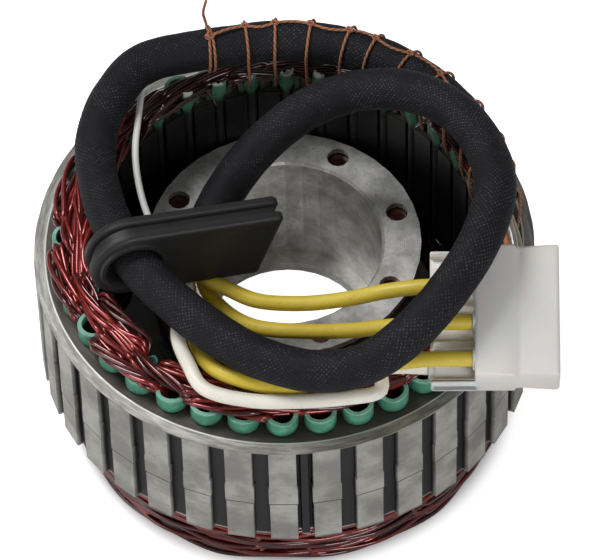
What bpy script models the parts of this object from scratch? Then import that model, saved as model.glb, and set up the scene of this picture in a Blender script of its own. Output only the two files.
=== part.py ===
"""A wound stator standing on its lower end windings.

A grooved steel core of 36 slots carries slot liners and three wave windings. A flanged hub with a
coil on it stands inside the bore. The lead wires leave through a black sleeve that is laced along
the upper windings, passes through a rubber grommet and loops round to a four-way plug housing.

Metres, +Z up. The origin is on the core's axis at the floor.
"""

import math

import bmesh
import bpy
from mathutils import Matrix, Vector

# Clearance between pieces that seat on each other
GAP = 0.0003

# Core
SLOTS = 36
SLOT_PITCH = 2 * math.pi / SLOTS
CORE_RADIUS = 0.0580
CORE_HEIGHT = 0.0351
RIB_HALF_ANGLE = math.radians(3.09)
BAND_WIDENING = math.radians(0.21)
BAND_TOP = 0.0143
BAND_BOTTOM = 0.0209
GROOVE_DEPTH = 0.0016
GROOVE_TAPER = math.radians(0.25)
DEEP_GROOVE_DEPTH = 0.0026
DEEP_GROOVE_EVERY = 6
STRIP_HALF_ANGLE = math.radians(0.85)
STRIP_DEPTH = 0.0012
END_RING_THICKNESS = 0.0006
END_CHAMFER_WIDTH = 0.0026
END_CHAMFER_DROP = 0.00025
SMALL_STEP = 0.00008

# Slots: a round-bottomed pear section with a narrow mouth, set in from the rim, between the teeth
SLOT_CENTRE_INSET = 0.0081
SLOT_SHOULDER_RUN = 0.0031
TOOTH_TIP_RUN = 0.0013
TOOTH_BACK_HALF = 0.000849071563108
TOOTH_FRONT_HALF = 0.00117888876059
SLOT_ROUND_CENTRE = CORE_RADIUS - SLOT_CENTRE_INSET
SLOT_ROUND_RADIUS = SLOT_ROUND_CENTRE * math.sin(SLOT_PITCH / 2) - TOOTH_BACK_HALF
SLOT_SHOULDER_RADIUS = SLOT_ROUND_CENTRE - SLOT_SHOULDER_RUN
SLOT_SHOULDER_HALF = SLOT_SHOULDER_RADIUS * math.sin(SLOT_PITCH / 2) - TOOTH_FRONT_HALF
BORE_RADIUS = SLOT_SHOULDER_RADIUS - TOOTH_TIP_RUN
SLOT_MOUTH_DEPTH = 0.0009
SLOT_MOUTH_HALF = 0.0014
SLOT_ARC_STEPS = 5

# Slot liners
LINER_THICKNESS = 0.0005
LINER_STAND = 0.0045

# Windings
PHASES = 3
LEG_BACK_SHARE = 0.68
LEG_SIDE_SHARE = 0.68
TOP_RING_HEIGHT = 0.0028
RING_TOP_RISE = LINER_STAND + GAP + TOP_RING_HEIGHT
WINDING_DROP = 0.0186
BOTTOM_RING_HEIGHT = WINDING_DROP - LINER_STAND - GAP
TOP_RING_INSET = 0.0050
TOP_RING_OUTER = CORE_RADIUS - TOP_RING_INSET
TOP_RING_WIDTH = 0.0024
BOTTOM_RING_INSET = 0.0062
BOTTOM_RING_OUTER = CORE_RADIUS - BOTTOM_RING_INSET
BOTTOM_RING_WIDTH = 0.0020
RING_CORNER_SHARE = 0.3
RING_SEGMENTS = 36
NECK_HALF_WIDTH = 0.0014
NECK_SINK = 0.0010

# Hub, its flanges and the coil on it
HUB_BORE_RADIUS = 0.0232
HUB_WALL = 0.0018
HUB_HEIGHT = 0.0378
FLANGE_REACH = 0.0073
FLANGE_RADIUS = HUB_BORE_RADIUS + HUB_WALL + FLANGE_REACH
FLANGE_THICKNESS = 0.0016
LOWER_FLANGE_INSET = 0.0008
LOWER_FLANGE_RADIUS = FLANGE_RADIUS - LOWER_FLANGE_INSET
LOWER_FLANGE_RISE = 0.0095
LIP_REACH = 0.0036
LIP_RADIUS = HUB_BORE_RADIUS - LIP_REACH
LIP_THICKNESS = 0.0029
HUB_EDGE_ROUND = 0.0006
FLANGE_HOLES = 8
FLANGE_HOLE_RADIUS = 0.00264
FLANGE_HOLE_REACH = 0.00295
FLANGE_HOLE_CIRCLE = HUB_BORE_RADIUS + HUB_WALL + FLANGE_HOLE_REACH
FLANGE_HOLE_SIDES = 12
FLANGE_HOLE_START = math.radians(-26.8)
HUB_X = -0.00045
HUB_SEGMENTS = 36
COIL_TURNS = 5
COIL_RIDGE = 0.0005
COIL_INSET = 0.0006

# Sleeve laced along the upper windings
SLEEVE_RADIUS = 0.0050
SLEEVE_STEP = 0.0095
LASH_INSET = 0.0086
LASH_CIRCLE = CORE_RADIUS - LASH_INSET
LASH_START = 4.0
LASH_END = 100.0
LASH_PITCH = 8.0
LASH_SLACK = 0.0006
LACING_RADIUS = 0.00035
LACING_SIDES_PER_TURN = 8
HITCH_PITCH = 0.0013
HITCHES = 9
HITCH_START = LASH_START + 5.0
HITCH_END = LASH_END - 6.0
RUN_TURN = math.radians(70.0)

# Lead wires
WIRE_RADIUS = 0.0018
WHITE_WIRE_RADIUS = 0.0017
WIRE_STEP = 0.0075
WIRE_SPREAD = 0.0020
WIRE_EXIT_RUN = 0.0080
TUBE_RADIUS = 0.0008
TUBE_STEP = 0.0060
JOINT_WIRE_RADIUS = 0.0009
JOINT_WIRE_SPREAD = 0.0012
JOINT_WIRE_STEP = 0.0050
JOINT_EXIT_RUN = 0.0020
TINNED_LIFT = 1.7

# Grommet on the sleeve
GROMMET_LENGTH = 0.0380
GROMMET_WIDTH = 0.0200
GROMMET_THICKNESS = 0.0070
GROMMET_GROOVE_DEPTH = 0.0012
GROMMET_GROOVE_WIDTH = 0.0024
GROMMET_BORE_CLEARANCE = 0.0007
GROMMET_EDGE_ROUND = 0.0006
GROMMET_RIM_STEPS = 12
GROMMET_KNOT = 5

# Plug housing: local X along the wires, Y across the wires, Z out of the broad face
PLUG_PLACE = (0.0435, -0.04975)
PLUG_RISE = 0.0183
PLUG_TILT = math.radians(18.0)
PLUG_LENGTH = 0.0191
PLUG_STEP_LENGTH = 0.0099
PLUG_WIDTH = 0.0313
PLUG_DEPTH = 0.0120
PLUG_UPPER_DEPTH = 0.0056
PLUG_WALL = 0.0016
PLUG_MOUTH_DEPTH = 0.0096
PLUG_EDGE_ROUND = 0.0008
PLUG_POCKET_DEPTH = 0.0030
PLUG_ENTRY_DEPTH = 0.0020
PLUG_UPPER_LEVEL = 0.0028
PLUG_LOWER_LEVEL = 0.0088
UPPER_WIRE_PLACES = (0.00485, 0.0134, 0.0220)
LOWER_WIRE_PLACE = 0.0046
TAB_WIDTH = 0.0048
TAB_THICKNESS = 0.0008
TAB_INSET = 0.0016

# Heights that follow from the sizes above
CORE_BOTTOM = WINDING_DROP
CORE_TOP = CORE_BOTTOM + CORE_HEIGHT
LASH_HEIGHT = CORE_TOP + RING_TOP_RISE + GAP + 2 * LACING_RADIUS + LASH_SLACK + SLEEVE_RADIUS
FIRST_SLOT = math.radians(-90.0)

# Routes, hand chosen, past the laced stretch and in metres
SLEEVE_ROUTE = (
    (-0.0315, 0.0435, 0.0680), (-0.0401, 0.0327, 0.0680), (-0.0435, 0.0204, 0.0680),
    (-0.0426, 0.0082, 0.0687), (-0.0400, -0.0024, 0.0697), (-0.0361, -0.0121, 0.0705),
    (-0.0306, -0.0203, 0.0701), (-0.0235, -0.0280, 0.0695), (-0.0147, -0.0364, 0.0699),
    (-0.0047, -0.0434, 0.0703), (0.0070, -0.0480, 0.0717), (0.0183, -0.0489, 0.0752),
    (0.0286, -0.0443, 0.0802), (0.0380, -0.0346, 0.0847), (0.0448, -0.0233, 0.0873),
    (0.0483, -0.0101, 0.0873), (0.0465, 0.0037, 0.0852), (0.0400, 0.0167, 0.0822),
    (0.0298, 0.0256, 0.0787), (0.0177, 0.0302, 0.0735), (0.0061, 0.0305, 0.0667),
    (-0.0037, 0.0262, 0.0607), (-0.0113, 0.0182, 0.0569), (-0.0168, 0.0082, 0.0545),
    (-0.0186, -0.0005, 0.0537),
)
YELLOW_FRONT_ROUTE = (
    (-0.0205, -0.0190, 0.0540), (-0.0196, -0.0310, 0.0585), (-0.0140, -0.0424, 0.0636),
    (0.0008, -0.0470, 0.0638), (0.0145, -0.0446, 0.0657), (0.0235, -0.0440, 0.0685),
)
YELLOW_MIDDLE_ROUTE = (
    (-0.0133, -0.0180, 0.0530), (-0.0060, -0.0245, 0.0558), (0.0050, -0.0290, 0.0604),
    (0.0150, -0.0325, 0.0655), (0.0235, -0.0350, 0.0704),
)
YELLOW_BACK_ROUTE = (
    (-0.0128, -0.0150, 0.0578), (-0.0055, -0.0205, 0.0605), (0.0050, -0.0245, 0.0650),
    (0.0150, -0.0265, 0.0695), (0.0235, -0.0275, 0.0737),
)
WHITE_ROUTE = (
    (-0.0222, -0.0190, 0.0582), (-0.0238, -0.0305, 0.0615), (-0.0209, -0.0408, 0.0638),
    (-0.0170, -0.0474, 0.0638), (-0.0070, -0.0504, 0.0637), (0.0042, -0.0507, 0.0637),
    (0.0155, -0.0497, 0.0637), (0.0222, -0.0481, 0.0640),
)
TUBE_ROUTE = (
    (-0.0335, 0.0389, 0.0625), (-0.0343, 0.0261, 0.0642), (-0.0346, 0.0195, 0.0632),
    (-0.0338, 0.0134, 0.0617), (-0.0325, 0.0076, 0.0607), (-0.0300, 0.0010, 0.0595),
    (-0.0262, -0.0040, 0.0575),
)
JOINT_ROUTE = (
    (0.0512, -0.0030, 0.0668), (0.0530, -0.0090, 0.0645), (0.0524, -0.0150, 0.0632),
    (0.0500, -0.0210, 0.0631),
)


def clear_scene():
    """Remove every object that the startup scene holds."""
    for obj in list(bpy.data.objects):
        bpy.data.objects.remove(obj, do_unlink=True)


def make_material(name, colour, roughness, metallic=0.0):
    """A Principled BSDF material of one colour."""
    material = bpy.data.materials.new(name)
    material.use_nodes = True
    shader = material.node_tree.nodes["Principled BSDF"]
    shader.inputs["Base Color"].default_value = (*colour, 1.0)
    shader.inputs["Roughness"].default_value = roughness
    shader.inputs["Metallic"].default_value = metallic
    material.diffuse_color = (*colour, 1.0)
    return material


def add_object(name, data, material, matrix=None):
    """Link an object holding this data, with its own material."""
    obj = bpy.data.objects.new(name, data)
    bpy.context.scene.collection.objects.link(obj)
    data.materials.clear()
    data.materials.append(material)
    if matrix is not None:
        obj.matrix_basis = matrix
    return obj


def shade(mesh, angle=35.0):
    """Smooth shading, sharp past this many degrees."""
    mesh.shade_smooth()
    mesh.set_sharp_from_angle(angle=math.radians(angle))


def mesh_of(name, points, faces, smooth=True):
    """A mesh from points and faces, its normals pointing out."""
    mesh = bpy.data.meshes.new(name)
    mesh.from_pydata([tuple(p) for p in points], [], faces)
    shape = bmesh.new()
    shape.from_mesh(mesh)
    bmesh.ops.recalc_face_normals(shape, faces=shape.faces)
    shape.to_mesh(mesh)
    shape.free()
    if smooth:
        shade(mesh)
    return mesh


def loft(sections):
    """Points and faces of closed sections of one size joined in order, with flat ends."""
    count = len(sections[0])
    points = [p for section in sections for p in section]
    faces = []
    for level in range(len(sections) - 1):
        low, high = level * count, (level + 1) * count
        for i in range(count):
            j = (i + 1) % count
            faces.append((low + i, low + j, high + j, high + i))
    faces.append(tuple(reversed(range(count))))
    faces.append(tuple(range((len(sections) - 1) * count, len(sections) * count)))
    return points, faces


def join_shapes(shapes):
    """Several (points, faces) pairs as one pair."""
    points, faces = [], []
    for more_points, more_faces in shapes:
        start = len(points)
        points.extend(more_points)
        faces.extend(tuple(start + i for i in face) for face in more_faces)
    return points, faces


def revolve(profile, segments, centre=(0.0, 0.0)):
    """Points and faces of a closed (radius, height) profile turned about the vertical."""
    points, faces = [], []
    count = len(profile)
    for s in range(segments):
        angle = 2 * math.pi * s / segments
        for radius, height in profile:
            points.append(
                (centre[0] + radius * math.cos(angle), centre[1] + radius * math.sin(angle), height)
            )
        after = (s + 1) % segments
        for i in range(count):
            j = (i + 1) % count
            faces.append((s * count + i, after * count + i, after * count + j, s * count + j))
    return points, faces


def polar(radius, angle, height):
    return Vector((radius * math.cos(angle), radius * math.sin(angle), height))


def slot_angle(index):
    return FIRST_SLOT + index * SLOT_PITCH


def in_slot(index, radius, across, height):
    """A point given by its distance along and across the middle line of a slot."""
    angle = slot_angle(index)
    along = Vector((math.cos(angle), math.sin(angle), 0.0))
    side = Vector((-math.sin(angle), math.cos(angle), 0.0))
    return along * radius + side * across + Vector((0.0, 0.0, height))


def slot_outline(inset, arc_steps):
    """The slot's (radius, across) outline past its mouth, from one shoulder to the other."""
    outline = [(SLOT_SHOULDER_RADIUS, inset - SLOT_SHOULDER_HALF)]
    radius = SLOT_ROUND_RADIUS - inset
    for step in range(arc_steps + 1):
        turn = math.pi * (1 - step / arc_steps)
        outline.append(
            (SLOT_ROUND_CENTRE + radius * math.sin(turn), radius * math.cos(turn))
        )
    outline.append((SLOT_SHOULDER_RADIUS, SLOT_SHOULDER_HALF - inset))
    return outline


def groove_outline(index, widening, open_groove):
    """Rim points round one groove, which is centred on the tooth after slot index."""
    centre = slot_angle(index) + SLOT_PITCH / 2
    half = SLOT_PITCH / 2 - RIB_HALF_ANGLE - widening
    deep = index % DEEP_GROOVE_EVERY == 0
    depth = DEEP_GROOVE_DEPTH if deep else GROOVE_DEPTH
    strip = STRIP_HALF_ANGLE
    stops = [(-half, 0.0), (GROOVE_TAPER - half, depth)]
    if deep:
        stops += [(-strip - GROOVE_TAPER, depth), (-strip, STRIP_DEPTH), (0.0, STRIP_DEPTH)]
        stops += [(strip, STRIP_DEPTH), (strip + GROOVE_TAPER, depth)]
    else:
        stops += [(0.0, depth)]
    stops += [(half - GROOVE_TAPER, depth), (half, 0.0)]
    return [
        (centre + turn, CORE_RADIUS - (drop if open_groove else 0.0)) for turn, drop in stops
    ]


def core_mesh():
    """The stack of laminations: ribs and grooves outside, pear-shaped slots inside."""
    mouth_end = BORE_RADIUS + SLOT_MOUTH_DEPTH
    inner = []
    inner_middle = []
    for index in range(SLOTS):
        outline = [(BORE_RADIUS, -SLOT_MOUTH_HALF), (mouth_end, -SLOT_MOUTH_HALF)]
        outline += slot_outline(0.0, SLOT_ARC_STEPS)
        outline += [(mouth_end, SLOT_MOUTH_HALF), (BORE_RADIUS, SLOT_MOUTH_HALF)]
        inner += [in_slot(index, radius, across, 0.0) for radius, across in outline]
        inner_middle.append(len(inner))
        inner.append(polar(BORE_RADIUS, slot_angle(index) + SLOT_PITCH / 2, 0.0))

    chamfer_base = CORE_TOP - END_CHAMFER_DROP
    ring_base = CORE_TOP - END_RING_THICKNESS
    levels = [
        (CORE_BOTTOM, 0.0, True, 0.0),
        (CORE_TOP - BAND_BOTTOM, 0.0, True, 0.0),
        (CORE_TOP - BAND_BOTTOM + SMALL_STEP, BAND_WIDENING, True, 0.0),
        (CORE_TOP - BAND_TOP - SMALL_STEP, BAND_WIDENING, True, 0.0),
        (CORE_TOP - BAND_TOP, 0.0, True, 0.0),
        (ring_base - SMALL_STEP, 0.0, True, 0.0),
        (ring_base, 0.0, False, 0.0),
        (chamfer_base, 0.0, False, 0.0),
        (CORE_TOP, 0.0, False, END_CHAMFER_WIDTH),
    ]
    points, outer_middle = [], []
    for height, widening, open_groove, pull_in in levels:
        outer_middle = []
        count = 0
        for index in range(SLOTS):
            rim = groove_outline(index, widening, open_groove)
            outer_middle.append(count + len(rim) // 2)
            count += len(rim)
            points += [polar(radius - pull_in, angle, height) for angle, radius in rim]
    outer = count
    faces = []
    for level in range(len(levels) - 1):
        low, high = level * outer, (level + 1) * outer
        for i in range(outer):
            j = (i + 1) % outer
            faces.append((low + i, low + j, high + j, high + i))
    base, top = len(points), len(points) + len(inner)
    points += [p + Vector((0, 0, CORE_BOTTOM)) for p in inner]
    points += [p + Vector((0, 0, CORE_TOP)) for p in inner]
    for i in range(len(inner)):
        j = (i + 1) % len(inner)
        faces.append((base + j, base + i, top + i, top + j))

    def sector(start, rim_start, index):
        """One end face, from the middle of a tooth to the middle of the next."""
        last, this = (index - 1) % SLOTS, index
        rim = [outer_middle[last]]
        while rim[-1] != outer_middle[this]:
            rim.append((rim[-1] + 1) % outer)
        bore = [inner_middle[last]]
        while bore[-1] != inner_middle[this]:
            bore.append((bore[-1] + 1) % len(inner))
        return [rim_start + i for i in rim] + [start + i for i in reversed(bore)]

    for index in range(SLOTS):
        faces.append(tuple(reversed(sector(base, 0, index))))
        faces.append(tuple(sector(top, (len(levels) - 1) * outer, index)))
    return mesh_of("core", points, faces)


def liner_mesh():
    """One slot liner, a U of sheet that stands out of both ends of its slot."""
    outside = slot_outline(GAP, SLOT_ARC_STEPS)
    inside = slot_outline(GAP + LINER_THICKNESS, SLOT_ARC_STEPS)
    section = outside + list(reversed(inside))
    heights = (CORE_BOTTOM - LINER_STAND, CORE_TOP + LINER_STAND)
    rings = [[Vector((radius, across, height)) for radius, across in section] for height in heights]
    return mesh_of("slot_liner", *loft(rings))


def leg_section(index, height, inner, outer, half):
    """A four-sided section of a winding leg."""
    shape = ((inner, -half), (outer, -half), (outer, half), (inner, half))
    return [in_slot(index, radius, across, height) for radius, across in shape]


def ring_radii(phase, outer, width):
    """Inner and outer radius of one phase's end ring, counted inward from the outermost."""
    edge = outer - phase * (width + GAP)
    return edge - width, edge


def leg_shape(index, phase):
    """One winding leg: full in its slot, gathered to a neck where it rises into each end ring."""
    inset = GAP + LINER_THICKNESS + GAP
    room = SLOT_ROUND_RADIUS - inset
    half = LEG_SIDE_SHARE * room
    inner = SLOT_SHOULDER_RADIUS
    outer = SLOT_ROUND_CENTRE + LEG_BACK_SHARE * room
    top_face = CORE_TOP + RING_TOP_RISE - TOP_RING_HEIGHT
    bottom_face = BOTTOM_RING_HEIGHT

    def neck(height, ring):
        ring_inner, ring_outer = ring
        return leg_section(
            index, height, ring_inner + GAP, min(ring_outer - GAP, outer), NECK_HALF_WIDTH
        )

    low_ring = ring_radii(phase, BOTTOM_RING_OUTER, BOTTOM_RING_WIDTH)
    top_ring = ring_radii(phase, TOP_RING_OUTER, TOP_RING_WIDTH)
    return loft([
        neck(bottom_face - NECK_SINK, low_ring),
        neck(bottom_face + GAP, low_ring),
        leg_section(index, CORE_BOTTOM - GAP, inner, outer, half),
        leg_section(index, CORE_TOP + GAP, inner, outer, half),
        neck(top_face - GAP, top_ring),
        neck(top_face + NECK_SINK, top_ring),
    ])


def ring_shape(radii, low, high):
    """An end ring with rounded upper corners."""
    inner, outer = radii
    corner = RING_CORNER_SHARE * (outer - inner)
    profile = (
        (inner, low), (outer, low), (outer, high - corner),
        (outer - corner, high), (inner + corner, high), (inner, high - corner),
    )
    return revolve(profile, RING_SEGMENTS)


def join_by_union(obj, name, shape, material):
    """Unite another shape with an object through a Boolean modifier and a hidden helper."""
    helper = add_object(name, mesh_of(name, *shape), material)
    helper.hide_render = True
    helper.display_type = "WIRE"
    modifier = obj.modifiers.new(name, "BOOLEAN")
    modifier.operation = "UNION"
    modifier.solver = "EXACT"
    modifier.object = helper


def cut(obj, name, shape, material):
    """Cut a shape from an object through a Boolean modifier and a hidden cutter."""
    cutter = add_object(name, mesh_of(name, *shape, smooth=False), material, obj.matrix_basis)
    cutter.hide_render = True
    cutter.display_type = "WIRE"
    modifier = obj.modifiers.new(name, "BOOLEAN")
    modifier.operation = "DIFFERENCE"
    modifier.solver = "EXACT"
    modifier.object = cutter


def box_shape(low, high):
    """Points and faces of a box between two corners."""
    (x0, y0, z0), (x1, y1, z1) = low, high
    section = ((x0, y0), (x1, y0), (x1, y1), (x0, y1))
    return loft([[Vector((x, y, z)) for x, y in section] for z in (z0, z1)])


def cylinder_shape(centre, axis, radius, length, sides):
    """A round bar that starts at centre and runs along axis."""
    axis = Vector(axis).normalized()
    turn = axis.to_track_quat("Z", "Y")
    rings = []
    for height in (0.0, length):
        rings.append([
            Vector(centre) + turn @ polar(radius, 2 * math.pi * s / sides, height)
            for s in range(sides)
        ])
    return loft(rings)


def make_core():
    steel = make_material("core_steel", (0.30, 0.29, 0.28), 0.42, 0.9)
    return add_object("core", core_mesh(), steel)


def make_liners():
    mesh = liner_mesh()
    for index in range(SLOTS):
        own = mesh.copy()
        film = make_material(f"liner_film_{index + 1:02d}", (0.06, 0.30, 0.19), 0.45)
        turn = Matrix.Rotation(slot_angle(index), 4, "Z")
        add_object(f"slot_liner_{index + 1:02d}", own, film, matrix=turn)


def make_windings():
    for phase in range(PHASES):
        enamel = make_material(f"enamel_{phase + 1}", (0.17, 0.012, 0.012), 0.25, 0.3)
        top_face = CORE_TOP + RING_TOP_RISE
        top = ring_shape(
            ring_radii(phase, TOP_RING_OUTER, TOP_RING_WIDTH), top_face - TOP_RING_HEIGHT, top_face
        )
        bottom = ring_shape(
            ring_radii(phase, BOTTOM_RING_OUTER, BOTTOM_RING_WIDTH), 0.0, BOTTOM_RING_HEIGHT
        )
        name = f"winding_{phase + 1}"
        legs = join_shapes([leg_shape(index, phase) for index in range(phase, SLOTS, PHASES)])
        winding = add_object(name, mesh_of(name, *top), enamel)
        join_by_union(winding, name + "_legs", legs, enamel)
        join_by_union(winding, name + "_lower_ring", bottom, enamel)


def hub_centre():
    """The hub is pushed back against the bore's rear wall."""
    return (HUB_X, BORE_RADIUS - FLANGE_RADIUS - GAP)


def make_hub():
    hub_outer = HUB_BORE_RADIUS + HUB_WALL
    lower_top = LOWER_FLANGE_RISE + FLANGE_THICKNESS
    soft = HUB_EDGE_ROUND
    profile = (
        (LIP_RADIUS, 0.0), (hub_outer, 0.0), (hub_outer, LOWER_FLANGE_RISE),
        (LOWER_FLANGE_RADIUS, LOWER_FLANGE_RISE), (LOWER_FLANGE_RADIUS, lower_top),
        (hub_outer, lower_top), (hub_outer, HUB_HEIGHT - FLANGE_THICKNESS),
        (FLANGE_RADIUS, HUB_HEIGHT - FLANGE_THICKNESS), (FLANGE_RADIUS, HUB_HEIGHT),
        (HUB_BORE_RADIUS + soft, HUB_HEIGHT),
        (HUB_BORE_RADIUS, HUB_HEIGHT - soft), (HUB_BORE_RADIUS, LIP_THICKNESS),
        (LIP_RADIUS, LIP_THICKNESS),
    )
    steel = make_material("hub_steel", (0.42, 0.41, 0.39), 0.38, 0.95)
    place = Matrix.Translation((*hub_centre(), 0.0))
    hub = add_object("hub", mesh_of("hub", *revolve(profile, HUB_SEGMENTS)), steel, matrix=place)
    holes = []
    for hole in range(FLANGE_HOLES):
        angle = FLANGE_HOLE_START + 2 * math.pi * hole / FLANGE_HOLES
        start = polar(FLANGE_HOLE_CIRCLE, angle, HUB_HEIGHT - 2 * FLANGE_THICKNESS)
        holes.append(
            cylinder_shape(start, (0, 0, 1), FLANGE_HOLE_RADIUS, 3 * FLANGE_THICKNESS, FLANGE_HOLE_SIDES)
        )
    cut(hub, "flange_holes", join_shapes(holes), steel)


def make_coil():
    low = LOWER_FLANGE_RISE + FLANGE_THICKNESS + GAP
    high = HUB_HEIGHT - FLANGE_THICKNESS - GAP
    inner = HUB_BORE_RADIUS + HUB_WALL + GAP
    outer = LOWER_FLANGE_RADIUS - COIL_INSET
    profile = [(inner, high), (inner, low)]
    turn = (high - low) / COIL_TURNS
    for ridge in range(COIL_TURNS):
        base = low + ridge * turn
        profile.append((outer - COIL_RIDGE, base))
        profile.append((outer, base + turn / 2))
    profile.append((outer - COIL_RIDGE, high))
    copper = make_material("coil_enamel", (0.12, 0.02, 0.012), 0.35, 0.3)
    place = Matrix.Translation((*hub_centre(), 0.0))
    add_object("hub_coil", mesh_of("hub_coil", *revolve(profile, HUB_SEGMENTS)), copper, matrix=place)


def smooth_points(route, step):
    """Evenly spaced points on a smooth curve through the route."""
    knots = [Vector(p) for p in route]
    fine = []
    for i in range(len(knots) - 1):
        before, here = knots[max(i - 1, 0)], knots[i]
        there, after = knots[i + 1], knots[min(i + 2, len(knots) - 1)]
        for part in range(16):
            t = part / 16
            fine.append(0.5 * (
                2 * here + (there - before) * t
                + (2 * before - 5 * here + 4 * there - after) * t * t
                + (3 * here - before - 3 * there + after) * t ** 3
            ))
    fine.append(knots[-1])
    travelled = [0.0]
    for a, b in zip(fine, fine[1:]):
        travelled.append(travelled[-1] + (b - a).length)
    count = max(2, round(travelled[-1] / step))
    even, place = [], 0
    for n in range(count + 1):
        wanted = travelled[-1] * n / count
        while place < len(fine) - 2 and travelled[place + 1] < wanted:
            place += 1
        span = travelled[place + 1] - travelled[place]
        even.append(fine[place].lerp(fine[place + 1], (wanted - travelled[place]) / span))
    return even


def tube_curve(name, points, radius, resolution):
    """A round tube along straight pieces between the points."""
    curve = bpy.data.curves.new(name, "CURVE")
    curve.dimensions = "3D"
    curve.bevel_depth = radius
    curve.bevel_resolution = resolution
    curve.use_fill_caps = True
    spline = curve.splines.new("POLY")
    spline.points.add(len(points) - 1)
    for target, point in zip(spline.points, points):
        target.co = (*point, 1.0)
    return curve


def lashed_point(degrees):
    return polar(LASH_CIRCLE, math.radians(degrees), LASH_HEIGHT)


def sleeve_points():
    """The laced arc over the windings, then the free route."""
    spans = round((LASH_END - LASH_START) / LASH_PITCH)
    arc = [lashed_point(LASH_START + LASH_PITCH * n) for n in range(spans + 1)]
    return smooth_points(arc + list(SLEEVE_ROUTE), SLEEVE_STEP)


def make_sleeve(points):
    weave = make_material("sleeve_weave", (0.022, 0.022, 0.026), 0.7)
    add_object("sleeve", tube_curve("sleeve", points, SLEEVE_RADIUS, 3), weave)


def make_lacing():
    """Hitches round the laced arc, joined by a run along its upper side."""
    facet = math.cos(math.pi / LACING_SIDES_PER_TURN)
    reach = (SLEEVE_RADIUS + GAP + LACING_RADIUS) / facet
    pitch = math.degrees(HITCH_PITCH / LASH_CIRCLE)
    points = []

    def place(degrees, turn):
        angle = math.radians(degrees)
        outward = Vector((math.cos(angle), math.sin(angle), 0.0))
        away = math.cos(turn) * outward + math.sin(turn) * Vector((0.0, 0.0, 1.0))
        return lashed_point(degrees) + reach * away

    for hitch in range(HITCHES):
        middle = HITCH_START + (HITCH_END - HITCH_START) * hitch / (HITCHES - 1)
        for step in range(LACING_SIDES_PER_TURN + 1):
            share = step / LACING_SIDES_PER_TURN
            points.append(place(middle + pitch * (share - 0.5), RUN_TURN + 2 * math.pi * share))
    cord = make_material("lacing_cord", (0.33, 0.13, 0.05), 0.8)
    add_object("lacing", tube_curve("lacing", points, LACING_RADIUS, 2), cord)


def wire_starts(points):
    """Places beside each other on the sleeve's free end, and the direction out of it."""
    out = (points[-1] - points[-2]).normalized()
    side = out.cross(Vector((0, 0, 1))).normalized()
    rise = side.cross(out)
    face = points[-1] + out * GAP
    return out, {
        "yellow_front": face + WIRE_SPREAD * (side - rise),
        "yellow_middle": face - WIRE_SPREAD * (side + rise),
        "yellow_back": face + WIRE_SPREAD * (rise - side),
        "white_wire": face + WIRE_SPREAD * (side + rise),
    }


def plug_matrix():
    corner = Vector((*PLUG_PLACE, CORE_TOP + PLUG_RISE))
    return Matrix.Translation(corner) @ Matrix.Rotation(PLUG_TILT, 4, "X")


def wire_end(place, level, step_back):
    """Where a wire meets the bottom of its entry in the plug housing."""
    reach = PLUG_ENTRY_DEPTH - GAP - step_back
    return plug_matrix() @ Vector((reach, place, -level))


def make_wires(points):
    out, starts = wire_starts(points)
    plans = (
        ("yellow_front", YELLOW_FRONT_ROUTE, WIRE_RADIUS),
        ("yellow_middle", YELLOW_MIDDLE_ROUTE, WIRE_RADIUS),
        ("yellow_back", YELLOW_BACK_ROUTE, WIRE_RADIUS),
        ("white_wire", WHITE_ROUTE, WHITE_WIRE_RADIUS),
    )
    for (name, route, radius), entry in zip(plans, wire_places()):
        start, end = starts[name], wire_end(*entry)
        straight = Vector((PLUG_STEP_LENGTH + WIRE_EXIT_RUN / 4, 0.0, 0.0))
        knots = [start, start + WIRE_EXIT_RUN * out, *route, end - straight, end]
        colour = (0.78, 0.76, 0.68) if name == "white_wire" else (0.60, 0.49, 0.06)
        skin = make_material(name + "_skin", colour, 0.4)
        add_object(name, tube_curve(name, smooth_points(knots, WIRE_STEP), radius, 2), skin)


def make_tube():
    skin = make_material("lead_tube_skin", (0.80, 0.79, 0.75), 0.5)
    points = smooth_points(TUBE_ROUTE, TUBE_STEP)
    add_object("lead_tube", tube_curve("lead_tube", points, TUBE_RADIUS, 2), skin)


def make_joint_wires(points):
    """Three leads that run from the sleeve's laced end down to the windings."""
    out = (points[0] - points[1]).normalized()
    side = out.cross(Vector((0, 0, 1))).normalized()
    plans = (
        ("lead_cream", -side, (0.66, 0.56, 0.36)),
        ("lead_orange", side, (0.45, 0.15, 0.03)),
        ("lead_tinned", Vector((0.0, 0.0, TINNED_LIFT)), (0.62, 0.60, 0.56)),
    )
    for name, shift, colour in plans:
        offset = JOINT_WIRE_SPREAD * shift
        start = points[0] + GAP * out + offset
        knots = [start, start + JOINT_EXIT_RUN * out]
        knots += [Vector(point) + offset for point in JOINT_ROUTE]
        skin = make_material(name + "_skin", colour, 0.4)
        line = smooth_points(knots, JOINT_WIRE_STEP)
        add_object(name, tube_curve(name, line, JOINT_WIRE_RADIUS, 2), skin)


def grommet_outline(inset):
    """A D shape: a half circle round the bore and a straight cut end."""
    half = GROMMET_WIDTH / 2 - inset
    outline = []
    for step in range(GROMMET_RIM_STEPS + 1):
        turn = math.pi * (0.5 + step / GROMMET_RIM_STEPS)
        outline.append((half * math.cos(turn), half * math.sin(turn)))
    end = GROMMET_LENGTH - GROMMET_WIDTH / 2 - inset
    outline += [(end, -half), (end, half)]
    return outline


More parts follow.
